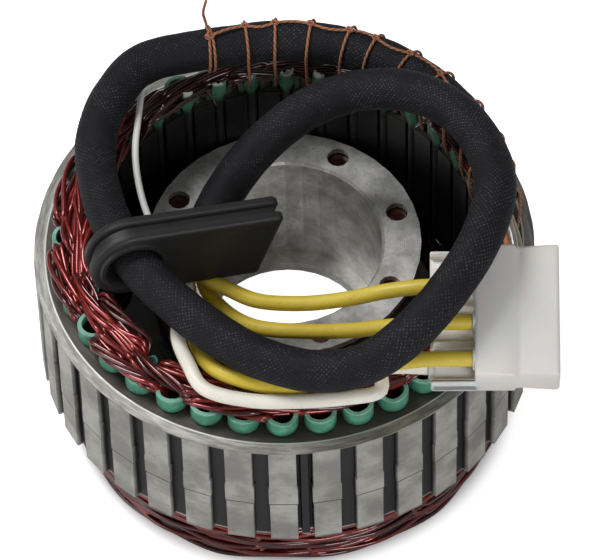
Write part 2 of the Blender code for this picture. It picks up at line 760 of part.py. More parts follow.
def make_grommet(points):
    """A rubber grommet threaded on the sleeve where it turns down to the plug."""
    target = Vector(SLEEVE_ROUTE[GROMMET_KNOT])
    near = min(range(1, len(points) - 1), key=lambda i: (points[i] - target).length)
    normal = (points[near + 1] - points[near - 1]).normalized()
    along = Vector((0, 0, 1)).cross(normal).normalized()
    if along.x < 0:
        along = -along
    across = normal.cross(along)
    frame = Matrix((along, across, normal)).transposed().to_4x4()
    place = Matrix.Translation(points[near]) @ frame
    half = GROMMET_THICKNESS / 2
    groove = GROMMET_GROOVE_WIDTH / 2
    soft = GROMMET_EDGE_ROUND
    levels = (
        (-half, soft), (soft - half, 0.0), (-groove, 0.0), (-groove, GROMMET_GROOVE_DEPTH),
        (groove, GROMMET_GROOVE_DEPTH), (groove, 0.0), (half - soft, 0.0), (half, soft),
    )
    rings = [
        [Vector((x, y, height)) for x, y in grommet_outline(inset)] for height, inset in levels
    ]
    rubber = make_material("grommet_rubber", (0.015, 0.015, 0.015), 0.6)
    grommet = add_object("grommet", mesh_of("grommet", *loft(rings)), rubber, matrix=place)
    bore = cylinder_shape(
        (0, 0, -GROMMET_THICKNESS), (0, 0, 1), SLEEVE_RADIUS + GROMMET_BORE_CLEARANCE,
        2 * GROMMET_THICKNESS, 24,
    )
    cut(grommet, "grommet_bore", bore, rubber)


def plug_section():
    """The housing's (X, Z) outline: a full upper tier and a lower tier that reaches back."""
    return (
        (0.0, 0.0), (0.0, -PLUG_UPPER_DEPTH), (-PLUG_STEP_LENGTH, -PLUG_UPPER_DEPTH),
        (-PLUG_STEP_LENGTH, -PLUG_DEPTH), (PLUG_LENGTH, -PLUG_DEPTH), (PLUG_LENGTH, 0.0),
    )


def make_plug():
    nylon = make_material("plug_nylon", (0.62, 0.61, 0.58), 0.35)
    rings = [[Vector((x, y, z)) for x, z in plug_section()] for y in (0.0, PLUG_WIDTH)]
    housing = add_object("plug_housing", mesh_of("plug_housing", *loft(rings)), nylon, plug_matrix())
    edge = housing.modifiers.new("edge", "BEVEL")
    edge.width = PLUG_EDGE_ROUND
    edge.segments = 2
    edge.limit_method = "ANGLE"
    floor = PLUG_LENGTH - PLUG_MOUTH_DEPTH
    low = (floor, PLUG_WALL, PLUG_WALL - PLUG_DEPTH)
    high = (PLUG_LENGTH + PLUG_WALL, PLUG_WIDTH - PLUG_WALL, -PLUG_WALL)
    cut(housing, "plug_mouth", box_shape(low, high), nylon)
    pockets, entries = [], []
    for place, level, step_back in wire_places():
        width = TAB_WIDTH / 2 + GAP
        thick = TAB_THICKNESS / 2 + GAP
        low = (floor - PLUG_POCKET_DEPTH, place - width, -level - thick)
        pockets.append(box_shape(low, (floor + GAP, place + width, thick - level)))
        start = (-step_back - GAP, place, -level)
        entries.append(
            cylinder_shape(start, (1, 0, 0), WIRE_RADIUS + GAP, PLUG_ENTRY_DEPTH + GAP, 12)
        )
    cut(housing, "tab_pockets", join_shapes(pockets), nylon)
    cut(housing, "wire_entries", join_shapes(entries), nylon)


def wire_places():
    """(place across, level below the broad face, distance back) of each circuit."""
    upper = [(place, PLUG_UPPER_LEVEL, 0.0) for place in UPPER_WIRE_PLACES]
    return upper + [(LOWER_WIRE_PLACE, PLUG_LOWER_LEVEL, PLUG_STEP_LENGTH)]


def make_tabs():
    """The flat contacts that stand in the plug's mouth."""
    floor = PLUG_LENGTH - PLUG_MOUTH_DEPTH
    for number, (place, level, _) in enumerate(wire_places(), 1):
        tin = make_material(f"tab_tin_{number}", (0.55, 0.53, 0.50), 0.3, 1.0)
        low = (floor - PLUG_POCKET_DEPTH + GAP, place - TAB_WIDTH / 2, -level - TAB_THICKNESS / 2)
        high = (PLUG_LENGTH - TAB_INSET, place + TAB_WIDTH / 2, TAB_THICKNESS / 2 - level)
        tab = mesh_of(f"contact_tab_{number}", *box_shape(low, high), smooth=False)
        add_object(f"contact_tab_{number}", tab, tin, matrix=plug_matrix())


def main():
    clear_scene()
    make_core()
    make_liners()
    make_windings()
    make_hub()
    make_coil()
    points = sleeve_points()
    make_sleeve(points)
    make_lacing()
    make_wires(points)
    make_tube()
    make_joint_wires(points)
    make_grommet(points)
    make_plug()
    make_tabs()


main()
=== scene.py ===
"""Wound stator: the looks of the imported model, with its stage and camera.

Metres, +Z up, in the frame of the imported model. The origin is on the core's axis at the floor.
"""

import math
import random

import bpy
from mathutils import Matrix, Vector, noise


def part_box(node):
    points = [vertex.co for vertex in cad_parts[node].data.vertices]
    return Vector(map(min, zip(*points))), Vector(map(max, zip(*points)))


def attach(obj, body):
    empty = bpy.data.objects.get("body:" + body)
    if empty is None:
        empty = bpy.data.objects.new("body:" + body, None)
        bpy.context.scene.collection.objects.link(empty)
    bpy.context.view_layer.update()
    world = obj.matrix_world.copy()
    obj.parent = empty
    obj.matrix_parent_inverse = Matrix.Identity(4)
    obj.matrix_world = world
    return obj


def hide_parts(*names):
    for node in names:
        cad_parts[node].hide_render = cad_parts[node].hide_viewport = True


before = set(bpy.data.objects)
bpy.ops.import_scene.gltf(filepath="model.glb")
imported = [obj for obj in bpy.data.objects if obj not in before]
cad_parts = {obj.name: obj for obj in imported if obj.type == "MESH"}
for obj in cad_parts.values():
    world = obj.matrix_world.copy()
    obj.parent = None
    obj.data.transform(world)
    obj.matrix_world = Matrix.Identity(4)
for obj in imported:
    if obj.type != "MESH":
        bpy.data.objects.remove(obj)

bl_info = {
    "name": "Wound Stator",
    "version": (1, 0, 0),
    "blender": (4, 5, 0),
    "location": "View3D > Sidebar > Stator",
    "description": "Builds a wound stator with its laced lead harness round the packed model",
    "category": "Object",
}

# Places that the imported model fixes
CORE_BOTTOM, CORE_TOP = (corner.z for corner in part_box("core"))
CORE_MIDDLE, CORE_HALF = (CORE_TOP + CORE_BOTTOM) / 2, (CORE_TOP - CORE_BOTTOM) / 2
SLOTS = 36
PHASES = 3
SLOT_PITCH = 2 * math.pi / SLOTS
FIRST_SLOT = math.radians(-90)
BORE_RADIUS = 0.0455
SLOT_ROUND_RADIUS = 0.0035
SLOT_ROUND_CENTRE = 0.0499
SLOT_SHOULDER_RADIUS = 0.0468
SLOT_SHOULDER_HALF = 0.0029
LINER_STAND = 0.0045
RIM_RADIUS = 0.0580
GROOVE_RADIUS = 0.0572
CHAMFER_RADIUS = 0.0554
BAND_LINE = CORE_TOP - 0.0209
HUB_CENTRE = Vector((-0.00045, 0.0129, 0.0))
COIL_BOTTOM, COIL_TOP = 0.0114, 0.0359
COIL_INNER, COIL_OUTER = 0.0253, 0.0308
LASH_CIRCLE, LASH_HEIGHT = 0.0494, 0.0679
LASH_DEGREES = range(4, 101, 8)
COARSE_STEP, FINE_STEP, WIRE_STEP = 0.0095, 0.0012, 0.0011
WIRE_GAP, WIRE_SPREAD, JOINT_SPREAD = 0.0003, 0.0020, 0.0012
WIRE_LEAD_OUT, WIRE_LEAD_IN = 0.0080, 0.0119

# Routes of the cords past the laced stretch
SLEEVE_ROUTE = (
    (-0.0315, 0.0435, 0.0680), (-0.0401, 0.0327, 0.0680), (-0.0435, 0.0204, 0.0680),
    (-0.0426, 0.0082, 0.0687), (-0.0400, -0.0024, 0.0697), (-0.0361, -0.0121, 0.0705),
    (-0.0306, -0.0203, 0.0701), (-0.0235, -0.0280, 0.0695), (-0.0147, -0.0364, 0.0699),
    (-0.0047, -0.0434, 0.0703), (0.0070, -0.0480, 0.0717), (0.0183, -0.0489, 0.0752),
    (0.0286, -0.0443, 0.0802), (0.0380, -0.0346, 0.0847), (0.0448, -0.0233, 0.0873),
    (0.0483, -0.0101, 0.0873), (0.0465, 0.0037, 0.0852), (0.0400, 0.0167, 0.0822),
    (0.0298, 0.0256, 0.0787), (0.0177, 0.0302, 0.0735), (0.0061, 0.0305, 0.0667),
    (-0.0037, 0.0262, 0.0607), (-0.0113, 0.0182, 0.0569), (-0.0168, 0.0082, 0.0545),
    (-0.0186, -0.0005, 0.0537),
)
YELLOW_FRONT_ROUTE = (
    (-0.0205, -0.0190, 0.0540), (-0.0196, -0.0310, 0.0585), (-0.0140, -0.0424, 0.0636),
    (0.0008, -0.0470, 0.0638), (0.0145, -0.0446, 0.0657), (0.0235, -0.0440, 0.0685),
)
YELLOW_MIDDLE_ROUTE = (
    (-0.0133, -0.0180, 0.0530), (-0.0060, -0.0245, 0.0558), (0.0050, -0.0290, 0.0604),
    (0.0150, -0.0325, 0.0655), (0.0235, -0.0350, 0.0704),
)
YELLOW_BACK_ROUTE = (
    (-0.0128, -0.0150, 0.0578), (-0.0055, -0.0205, 0.0605), (0.0050, -0.0245, 0.0650),
    (0.0150, -0.0265, 0.0695), (0.0235, -0.0275, 0.0737),
)
WHITE_ROUTE = (
    (-0.0222, -0.0190, 0.0582), (-0.0238, -0.0305, 0.0615), (-0.0209, -0.0408, 0.0638),
    (-0.0170, -0.0474, 0.0638), (-0.0070, -0.0504, 0.0637), (0.0042, -0.0507, 0.0637),
    (0.0155, -0.0497, 0.0637), (0.0222, -0.0481, 0.0640),
)
TUBE_ROUTE = (
    (-0.0335, 0.0389, 0.0625), (-0.0343, 0.0261, 0.0642), (-0.0346, 0.0195, 0.0632),
    (-0.0338, 0.0134, 0.0617), (-0.0325, 0.0076, 0.0607), (-0.0300, 0.0010, 0.0595),
    (-0.0262, -0.0040, 0.0575),
)
JOINT_ROUTE = (
    (0.0512, -0.0030, 0.0668), (0.0530, -0.0090, 0.0645), (0.0524, -0.0150, 0.0632),
    (0.0500, -0.0210, 0.0631),
)
TWISTED_ROUTE = (
    (-0.0375, 0.0350, 0.0585), (-0.0379, 0.0322, 0.0628), (-0.0388, 0.0292, 0.0626),
    (-0.0397, 0.0262, 0.0608), (-0.0402, 0.0238, 0.0582), (-0.0404, 0.0222, 0.0560),
)

# Plug housing: local X along the wires, Y across them, Z out of the broad face
PLUG_TILT = math.radians(18)
PLUG_PLACE = Matrix.Translation((0.0435, -0.04975, 0.0720)) @ Matrix.Rotation(PLUG_TILT, 4, "X")
PLUG_LENGTH, PLUG_WIDTH, PLUG_DEPTH = 0.0191, 0.0313, 0.0120
PLUG_STEP, PLUG_UPPER = 0.0099, 0.0056
PLUG_MOUTH, PLUG_WALL, PLUG_SHOULDER = 0.0096, 0.0016, 0.0091
TRAY_WALLS, ENTRY_DEPTH = (0.0091, 0.0176, 0.0264), 0.0017
UPPER_PLACES, UPPER_LEVEL = (0.00485, 0.0134, 0.0220), 0.0028
LOWER_PLACE, LOWER_LEVEL = 0.0046, 0.0088

# Camera, in millimetres from the middle of the core's top face
VIEW_ELEVATION, VIEW_AZIMUTH, VIEW_ROLL = 53.95, 1.83, -1.75
VIEW_DISTANCE, VIEW_SHIFT_X, VIEW_SHIFT_Y = 1292.2, -3.68, 7.81
FOCAL_PIXELS, PICTURE_WIDTH = 5581.4, 600

# Stage and finishes
FLOOR_HALF = 6.0
LAMP_TARGET = Vector((0.0, 0.0, 0.05))
LAMINATION = 0.0005
WEAVE_ROW, WEAVE_CELLS = 0.0011, 28
LACING_PLY = 0.0016
TUBE_COLOUR = (0.80, 0.79, 0.76)

Z = Vector((0.0, 0.0, 1.0))


def length_of(name, description, default):
    return bpy.props.FloatProperty(
        name=name, description=description, default=default, min=0.0, precision=5,
        subtype="DISTANCE", unit="LENGTH",
    )


def colour_of(name, description, default):
    return bpy.props.FloatVectorProperty(
        name=name, description=description, default=default, size=3, min=0.0, max=1.0,
        subtype="COLOR",
    )


class StatorSizes(bpy.types.PropertyGroup):
    strand: length_of("Strand", "Diameter of one enamelled strand", 0.00125)
    top_strands: bpy.props.IntProperty(
        name="Upper strands", description="Strands in each span of the upper windings", default=7
    )
    bottom_strands: bpy.props.IntProperty(
        name="Lower strands", description="Strands in each span of the lower windings", default=14
    )
    sleeve: length_of("Sleeve", "Diameter of the woven sleeve", 0.0100)
    wire: length_of("Lead wire", "Diameter of a yellow lead wire", 0.0036)
    white_wire: length_of("White wire", "Diameter of the white lead wire", 0.0034)
    tube: length_of("Tube", "Diameter of the thin white tube", 0.0016)
    joint_lead: length_of("Small lead", "Diameter of the small joint leads", 0.0018)
    lacing: length_of("Lacing", "Diameter of the lacing cord", 0.0007)
    coil_wire: length_of("Coil wire", "Diameter of the wire on the hub", 0.00112)
    liner_sheet: length_of("Liner", "Thickness of the folded slot liner", 0.0009)


class StatorColours(bpy.types.PropertyGroup):
    enamel: colour_of("Enamel", "Enamel on the windings", (0.255, 0.017, 0.013))
    enamel_dark: colour_of("Dark enamel", "Darker strands", (0.040, 0.003, 0.003))
    liner: colour_of("Liner", "Slot liner film", (0.085, 0.315, 0.215))
    wedge: colour_of("Wedge", "Torn tips of the slot strips", (0.66, 0.72, 0.64))
    rib: colour_of("Rib", "Bare edges of the laminations", (0.42, 0.41, 0.38))
    # painted shade: the colour that darkens the bottom of the outer grooves
    groove: colour_of("Groove", "Bottom of the outer grooves", (0.026, 0.026, 0.027))
    face: colour_of("End face", "End face of the core", (0.100, 0.090, 0.082))
    hub: colour_of("Hub", "Machined steel of the hub", (0.80, 0.79, 0.76))
    sleeve: colour_of("Sleeve", "Woven sleeve", (0.010, 0.010, 0.012))
    lacing: colour_of("Lacing", "Lacing cord", (0.36, 0.15, 0.075))
    yellow: colour_of("Yellow", "Yellow lead wires", (0.72, 0.55, 0.055))
    white: colour_of("White", "White lead wire", (0.86, 0.82, 0.72))
    cream: colour_of("Cream", "Cream joint lead", (0.62, 0.53, 0.34))
    orange: colour_of("Orange", "Orange joint lead", (0.48, 0.17, 0.06))
    nylon: colour_of("Nylon", "Plug housing", (0.74, 0.72, 0.69))
    rubber: colour_of("Rubber", "Grommet", (0.008, 0.008, 0.009))
    tin: colour_of("Tin", "Tinned contacts", (0.58, 0.56, 0.52))


def sizes():
    return bpy.context.scene.stator_sizes


def colours():
    return bpy.context.scene.stator_colours


def maths(operation, turned=False):
    """A method that sends a value and another one through a Math node."""
    def method(self, other=0.0):
        pair = (other, self) if turned else (self, other)
        return self.finish.node("ShaderNodeMath", {"operation": operation}, dict(enumerate(pair)))

    return method


class Value:
    """A shader socket that takes part in Python arithmetic."""

    def __init__(self, finish, socket):
        self.finish = finish
        self.socket = socket

    __add__, __radd__ = maths("ADD"), maths("ADD", True)
    __sub__, __rsub__ = maths("SUBTRACT"), maths("SUBTRACT", True)
    __mul__, __rmul__ = maths("MULTIPLY"), maths("MULTIPLY", True)
    __truediv__, __pow__ = maths("DIVIDE"), maths("POWER")
    sine, size, most = maths("SINE"), maths("ABSOLUTE"), maths("MAXIMUM")
    floor, part = maths("FLOOR"), maths("FRACT")


class Finish:
    """The node tree of one material, or of the world."""

    def __init__(self, name, kind="materials"):
        self.holder = getattr(bpy.data, kind).new(name)
        self.holder.use_nodes = True
        self.tree = self.holder.node_tree
        self.tree.nodes.clear()

    def node(self, kind, settings=None, sockets=None, output=0):
        """Add a node: its settings first, then the values or links of its sockets."""
        made = self.tree.nodes.new(kind)
        for key, value in (settings or {}).items():
            setattr(made, key, value)
        for key, value in (sockets or {}).items():
            target = made.inputs[key]
            if isinstance(value, Value):
                self.tree.links.new(value.socket, target)
            else:
                target.default_value = value
        return Value(self, made.outputs[output] if made.outputs else None)

    def split(self, vector):
        """The three numbers of a vector."""
        first = self.node("ShaderNodeSeparateXYZ", None, {0: vector})
        return [Value(self, output) for output in first.socket.node.outputs]

    def place(self):
        """The point on the piece, in metres."""
        return self.node("ShaderNodeTexCoord", output="Object")

    def reach(self, centre=(0.0, 0.0, 0.0)):
        """Distance from the upright line through a centre."""
        x, y, _ = [part - at for part, at in zip(self.split(self.place()), centre)]
        return (x * x + y * y) ** 0.5

    def lay(self):
        """Distance along a tube, its strand number, and the share of a turn round it."""
        along, turn, _ = self.split(self.node("ShaderNodeUVMap", {"uv_map": "lay"}))
        number = turn.floor()
        return along, number, turn - number

    def cloud(self, scale, detail=3.0, rough=0.55, place=None):
        """Soft noise from 0 to 1."""
        sockets = {"Vector": place or self.place(), "Scale": scale}
        sockets |= {"Detail": detail, "Roughness": rough}
        return self.node("ShaderNodeTexNoise", None, sockets)

    def chance(self, number):
        """One steady random value for each whole number."""
        return self.node("ShaderNodeTexWhiteNoise", {"noise_dimensions": "1D"}, {"W": number})

    def between(self, value, low, high):
        """0 below low and 1 above high."""
        return self.node(
            "ShaderNodeMapRange", {"clamp": True, "interpolation_type": "SMOOTHSTEP"},
            {0: value, 1: low, 2: high, 3: 0.0, 4: 1.0},
        )

    def near(self, value, place, low, high):
        """1 within low of a place and 0 farther than high from it."""
        return 1.0 - self.between((value - place).size(), low, high)

    def spots(self, scale, low, high, detail=2.0, rough=0.55):
        """The peaks of soft noise."""
        return self.between(self.cloud(scale, detail, rough), low, high)

    def wave(self, value):
        """A sine from 0 to 1."""
        return value.sine() * 0.5 + 0.5

    def mix(self, share, first, second):
        """A colour between two colours."""
        first, second = [c if isinstance(c, Value) else (*c[:3], 1.0) for c in (first, second)]
        return self.node("ShaderNodeMix", {"data_type": "RGBA"}, {0: share, 6: first, 7: second}, 2)

    def tones(self, share, colour, low, high):
        """A colour between two shades of one colour."""
        return self.mix(share, shaded(colour, low), shaded(colour, high))

    def bump(self, height, depth, strength=1.0):
        """A normal from a height that runs from 0 to 1, depth metres deep."""
        sockets = {"Strength": strength, "Distance": depth, "Height": height}
        return self.node("ShaderNodeBump", None, sockets)

    def skin(self, **sockets):
        """The surface shader, with its sockets named by words joined with underscores."""
        named = {
            key.replace("_", " ").title().replace("Ior", "IOR"): value
            for key, value in sockets.items()
        }
        shader = self.node("ShaderNodeBsdfPrincipled", None, named)
        self.node("ShaderNodeOutputMaterial", None, {"Surface": shader})
        return self.holder


def shaded(colour, share):
    """A colour with its brightness changed."""
    return tuple(min(1.0, c * share) for c in colour[:3])


def enamel_finish(name, bright, dark, back_shade=0.8):
    """Lacquered copper strands, each a little different, with painted shade darkening them towards the
    back.
    """
    f = Finish(name)
    _, number, _ = f.lay()
    _, y, _ = f.split(f.place())
    dust = f.cloud(260.0, 4.0, 0.6)
    base = f.mix(f.between(f.chance(number) * 0.8 + dust * 0.3, 0.10, 0.95), dark, bright)
    base = f.mix(f.spots(900.0, 0.60, 0.74) * 0.30, base, shaded(bright, 2.2))
    # painted shade: strands darken towards the back of the stator, by the share given
    base = f.mix(f.between(y, 0.012, 0.034) * back_shade, base, (0.016, 0.003, 0.003))
    return f.skin(
        base_color=base, metallic=0.60, roughness=0.24 + 0.14 * dust, coat_weight=1.0,
        coat_roughness=0.04, normal=f.bump(f.cloud(2600.0, 2.0), 0.000012),
    )


def liner_finish():
    """Green insulating film with creases and faint fibres, pale rims from a painted highlight on the top
    edge, and painted shade that darkens it inside the slot and low on the cuff.
    """
    f = Finish("liner_film")
    tint = colours().liner
    _, _, z = f.split(f.place())
    folds = f.cloud(420.0, 4.0, 0.6)
    height = (z - CORE_MIDDLE).size() - CORE_HALF
    # painted shade: the film darkens inside the slot and low on the cuff, where it meets the core face
    base = f.tones(f.between(height, 0.0, LINER_STAND * 0.45), tint, 0.35, 0.85)
    base = f.mix(f.between(folds, 0.45, 0.72) * 0.5, base, shaded(tint, 1.7))
    # painted highlight: the top edge of the cuff is lightened
    rim = f.between(height, LINER_STAND * 0.80, LINER_STAND)
    base = f.mix(rim * 0.5, base, (0.30, 0.56, 0.45))
    # painted shade: the cup's inner face, towards the bore, is darkened
    inner = 1.0 - f.between(f.reach(), 0.0474, 0.0488)
    base = f.mix(inner * 0.85, base, (0.010, 0.026, 0.019))
    fibres = f.wave(height * 9000.0 + folds * 9.0)
    return f.skin(
        base_color=base, roughness=0.34 + 0.25 * folds, coat_weight=0.15, coat_roughness=0.3,
        normal=f.bump(folds * 0.8 + fibres * 0.2, 0.00016),
    )


def wedge_finish():
    """Film strips: painted shade makes them black in the slot's mouth; green above the core, pale at the
    torn tips.
    """
    f = Finish("slot_wedge")
    grain = f.cloud(700.0, 4.0, 0.65)
    _, _, z = f.split(f.place())
    over = z + grain * 0.002 - CORE_TOP
    green = shaded(colours().liner, 0.6)
    # painted shade: black below the core's top, in the slot's mouth
    base = f.mix(f.between(over, -0.0004, 0.0032), (0.010, 0.014, 0.012), green)
    base = f.mix(f.between(over, 0.0068, 0.0082), base, colours().wedge)
    return f.skin(base_color=base, roughness=0.5 + 0.2 * grain, normal=f.bump(grain, 0.0002))


def core_finish():
    """Stacked steel: bare ribs, painted shade in the grooves and the bore, a dull end face, and a bright
    rim with a painted highlight along its chamfer edge.
    """
    f = Finish("core_steel")
    tint = colours()
    x, y, z = f.split(f.place())
    radius = f.reach()
    stain = f.cloud(95.0, 5.0, 0.6)
    speck = f.cloud(900.0, 3.0, 0.6)
    sheet = z / LAMINATION
    layer = f.chance(sheet.floor())
    seam = f.between((sheet.part() - 0.5).size(), 0.34, 0.50)

    rib = f.tones(f.between(stain, 0.34, 0.66), tint.rib, 0.62, 1.18)
    rib = f.mix(layer * 0.22, rib, shaded(tint.rib, 0.62))
    rib = f.mix(f.between(speck, 0.60, 0.74) * 0.45, rib, shaded(tint.rib, 0.42))
    line = f.near(z, BAND_LINE, 0.00010, 0.00024)
    rib = f.mix(line * 0.85, rib, shaded(tint.rib, 0.14))
    # painted shade: the bottom of the outer grooves is darkened
    groove = f.tones(stain, tint.groove, 0.75, 1.30)
    deep = 1.0 - f.between(radius, GROOVE_RADIUS - 0.0004, RIM_RADIUS - 0.00022)
    side = f.mix(deep, rib, groove)

    stretched = {0: radius * 900.0, 1: x * 110.0, 2: y * 110.0}
    brushed = f.cloud(1.0, 3.0, 0.7, f.node("ShaderNodeCombineXYZ", None, stretched))
    face = f.tones(f.between(stain, 0.28, 0.70), tint.face, 0.72, 1.20)
    face = f.mix(f.between(brushed, 0.52, 0.80) * 0.5, face, shaded(tint.face, 2.2))
    rim = f.tones(f.between(brushed, 0.30, 0.75), tint.rib, 0.42, 1.05)
    face = f.mix(f.between(radius, CHAMFER_RADIUS, CHAMFER_RADIUS + 0.0003), face, rim)
    # painted highlight: a thin bright line along the chamfer edge
    edge = f.near(radius, CHAMFER_RADIUS, 0.00010, 0.00028)
    face = f.mix(edge * 0.8, face, (0.75, 0.74, 0.72))

    end = f.between((z - CORE_MIDDLE).size(), CORE_HALF - 0.00062, CORE_HALF - 0.00055)
    # painted shade: the bore wall is darkened
    bore = 1.0 - f.between(radius, BORE_RADIUS + 0.0001, BORE_RADIUS + 0.0004)
    base = f.mix(bore * 0.92, f.mix(end, side, face), (0.012, 0.012, 0.013))
    height = (1.0 - end) * (seam * 0.5 + layer * 0.25) + speck * 0.25 + brushed * end * 0.3
    return f.skin(
        base_color=base, metallic=0.55 + 0.25 * end, roughness=0.44 - 0.08 * end + 0.20 * stain,
        normal=f.bump(height, 0.00009, 0.8),
    )


def hub_finish():
    """Turned steel with stains, small pits and a little rust."""
    f = Finish("hub_steel")
    tint = colours().hub
    stain = f.cloud(150.0, 5.0, 0.65)
    pits = f.cloud(1100.0, 3.0, 0.6)
    turned = f.wave(f.reach(HUB_CENTRE) * 14000.0 + stain * 5.0)
    base = f.tones(f.between(stain, 0.30, 0.70), tint, 0.62, 1.16)
    base = f.mix(f.between(pits, 0.58, 0.72) * 0.55, base, shaded(tint, 0.38))
    base = f.mix(f.spots(55.0, 0.60, 0.78, 3.0) * 0.35, base, (0.30, 0.25, 0.16))
    return f.skin(
        base_color=base, metallic=0.72, roughness=0.30 + 0.26 * stain,
        normal=f.bump(pits * 0.7 + turned * 0.3, 0.00006, 0.8),
    )


def weave_finish():
    """Braided black sleeving: rows of small raised crossings with painted glints on them, stronger in
    the dusty patches.
    """
    f = Finish("sleeve_weave")
    along, _, turn = f.lay()
    rows, cells = 2 * math.pi / WEAVE_ROW, 2 * math.pi * WEAVE_CELLS
    one = (along * rows + turn * cells).sine()
    other = (along * rows - turn * cells).sine()
    knots = f.between(one + other * 0.8, 0.45, 1.35)
    fine = f.cloud(3200.0, 2.0)
    dust = f.cloud(120.0, 4.0, 0.6)
    # painted highlight: light specks on the raised crossings, stronger where the dust cloud is high
    glint_and_dust = knots * f.between(fine, 0.47, 0.60) * (0.20 + 0.80 * f.between(dust, 0.38, 0.62))
    base = f.mix(glint_and_dust, f.tones(dust, colours().sleeve, 0.75, 1.40), (0.105, 0.105, 0.115))
    return f.skin(
        base_color=base, roughness=0.60 + 0.12 * dust, specular_ior_level=0.16,
        normal=f.bump(knots * 0.7 + fine * 0.3, 0.00016),
    )


def lacing_finish():
    """Waxed cord: two plies with painted shade as dark lines between them, and a little fuzz."""
    f = Finish("lacing_cord")
    tint = colours().lacing
    along, _, turn = f.lay()
    ply = f.wave(along * (2 * math.pi / LACING_PLY) + turn * (4 * math.pi))
    fuzz = f.cloud(2500.0, 3.0, 0.7)
    # painted shade: dark lines in the grooves between the plies
    base = f.tones(f.between(ply, 0.10, 0.60), tint, 0.30, 1.0)
    base = f.mix(fuzz * 0.4, base, shaded(tint, 1.6))
    return f.skin(base_color=base, roughness=0.75, normal=f.bump(ply * 0.8 + fuzz * 0.2, 0.00014))


def jacket_finish(name, colour, dirt, rough=0.38):
    """Insulation of a lead wire: nearly even, with scuffs and a few dark marks."""
    f = Finish(name)
    soft = f.cloud(140.0)
    base = f.tones(soft, colour, 0.84, 1.12)
    base = f.mix(f.spots(210.0, 0.55, 0.80, 4.0, 0.7) * dirt, base, shaded(colour, 0.55))
    base = f.mix(f.spots(1500.0, 0.66, 0.74, 3.0, 0.6) * dirt * 1.6, base, (0.05, 0.045, 0.04))
    return f.skin(
        base_color=base, roughness=rough + 0.14 * soft, coat_weight=0.12, coat_roughness=0.25,
        normal=f.bump(f.cloud(700.0), 0.00005),
    )


def nylon_finish():
    """Natural nylon, a little see-through, with faint flow marks."""
    f = Finish("plug_nylon")
    tint = colours().nylon
    flow = f.cloud(75.0, 4.0, 0.5)
    base = f.mix(f.spots(38.0, 0.35, 0.65), tint, (0.60, 0.60, 0.60))
    base = f.mix(flow * 0.5, base, shaded(tint, 1.12))
    base = f.mix(f.spots(1300.0, 0.72, 0.78) * 0.4, base, shaded(tint, 0.35))
    return f.skin(
        base_color=base, roughness=0.36 + 0.14 * flow, subsurface_weight=0.25,
        subsurface_scale=0.002, normal=f.bump(flow, 0.0001, 0.5),
    )


def rubber_finish():
    """Black rubber with a faint bloom."""
    f = Finish("grommet_rubber")
    bloom = f.cloud(170.0, 4.0, 0.6)
    return f.skin(
        base_color=f.tones(bloom, colours().rubber, 0.8, 1.7), roughness=0.40 + 0.22 * bloom,
        normal=f.bump(f.cloud(1500.0), 0.00006),
    )


def tin_finish(name):
    """Tinned copper, dull in places."""
    f = Finish(name)
    dull = f.cloud(600.0, 4.0, 0.6)
    return f.skin(
        base_color=f.tones(dull, colours().tin, 0.6, 1.2), metallic=0.9,
        roughness=0.24 + 0.25 * dull, normal=f.bump(dull, 0.00004),
    )


def placed(name, data, matrix=None):
    """Put new data in the scene as an object."""
    obj = bpy.data.objects.new(name, data)
    if matrix is not None:
        obj.matrix_world = matrix
    bpy.context.scene.collection.objects.link(obj)
    return obj


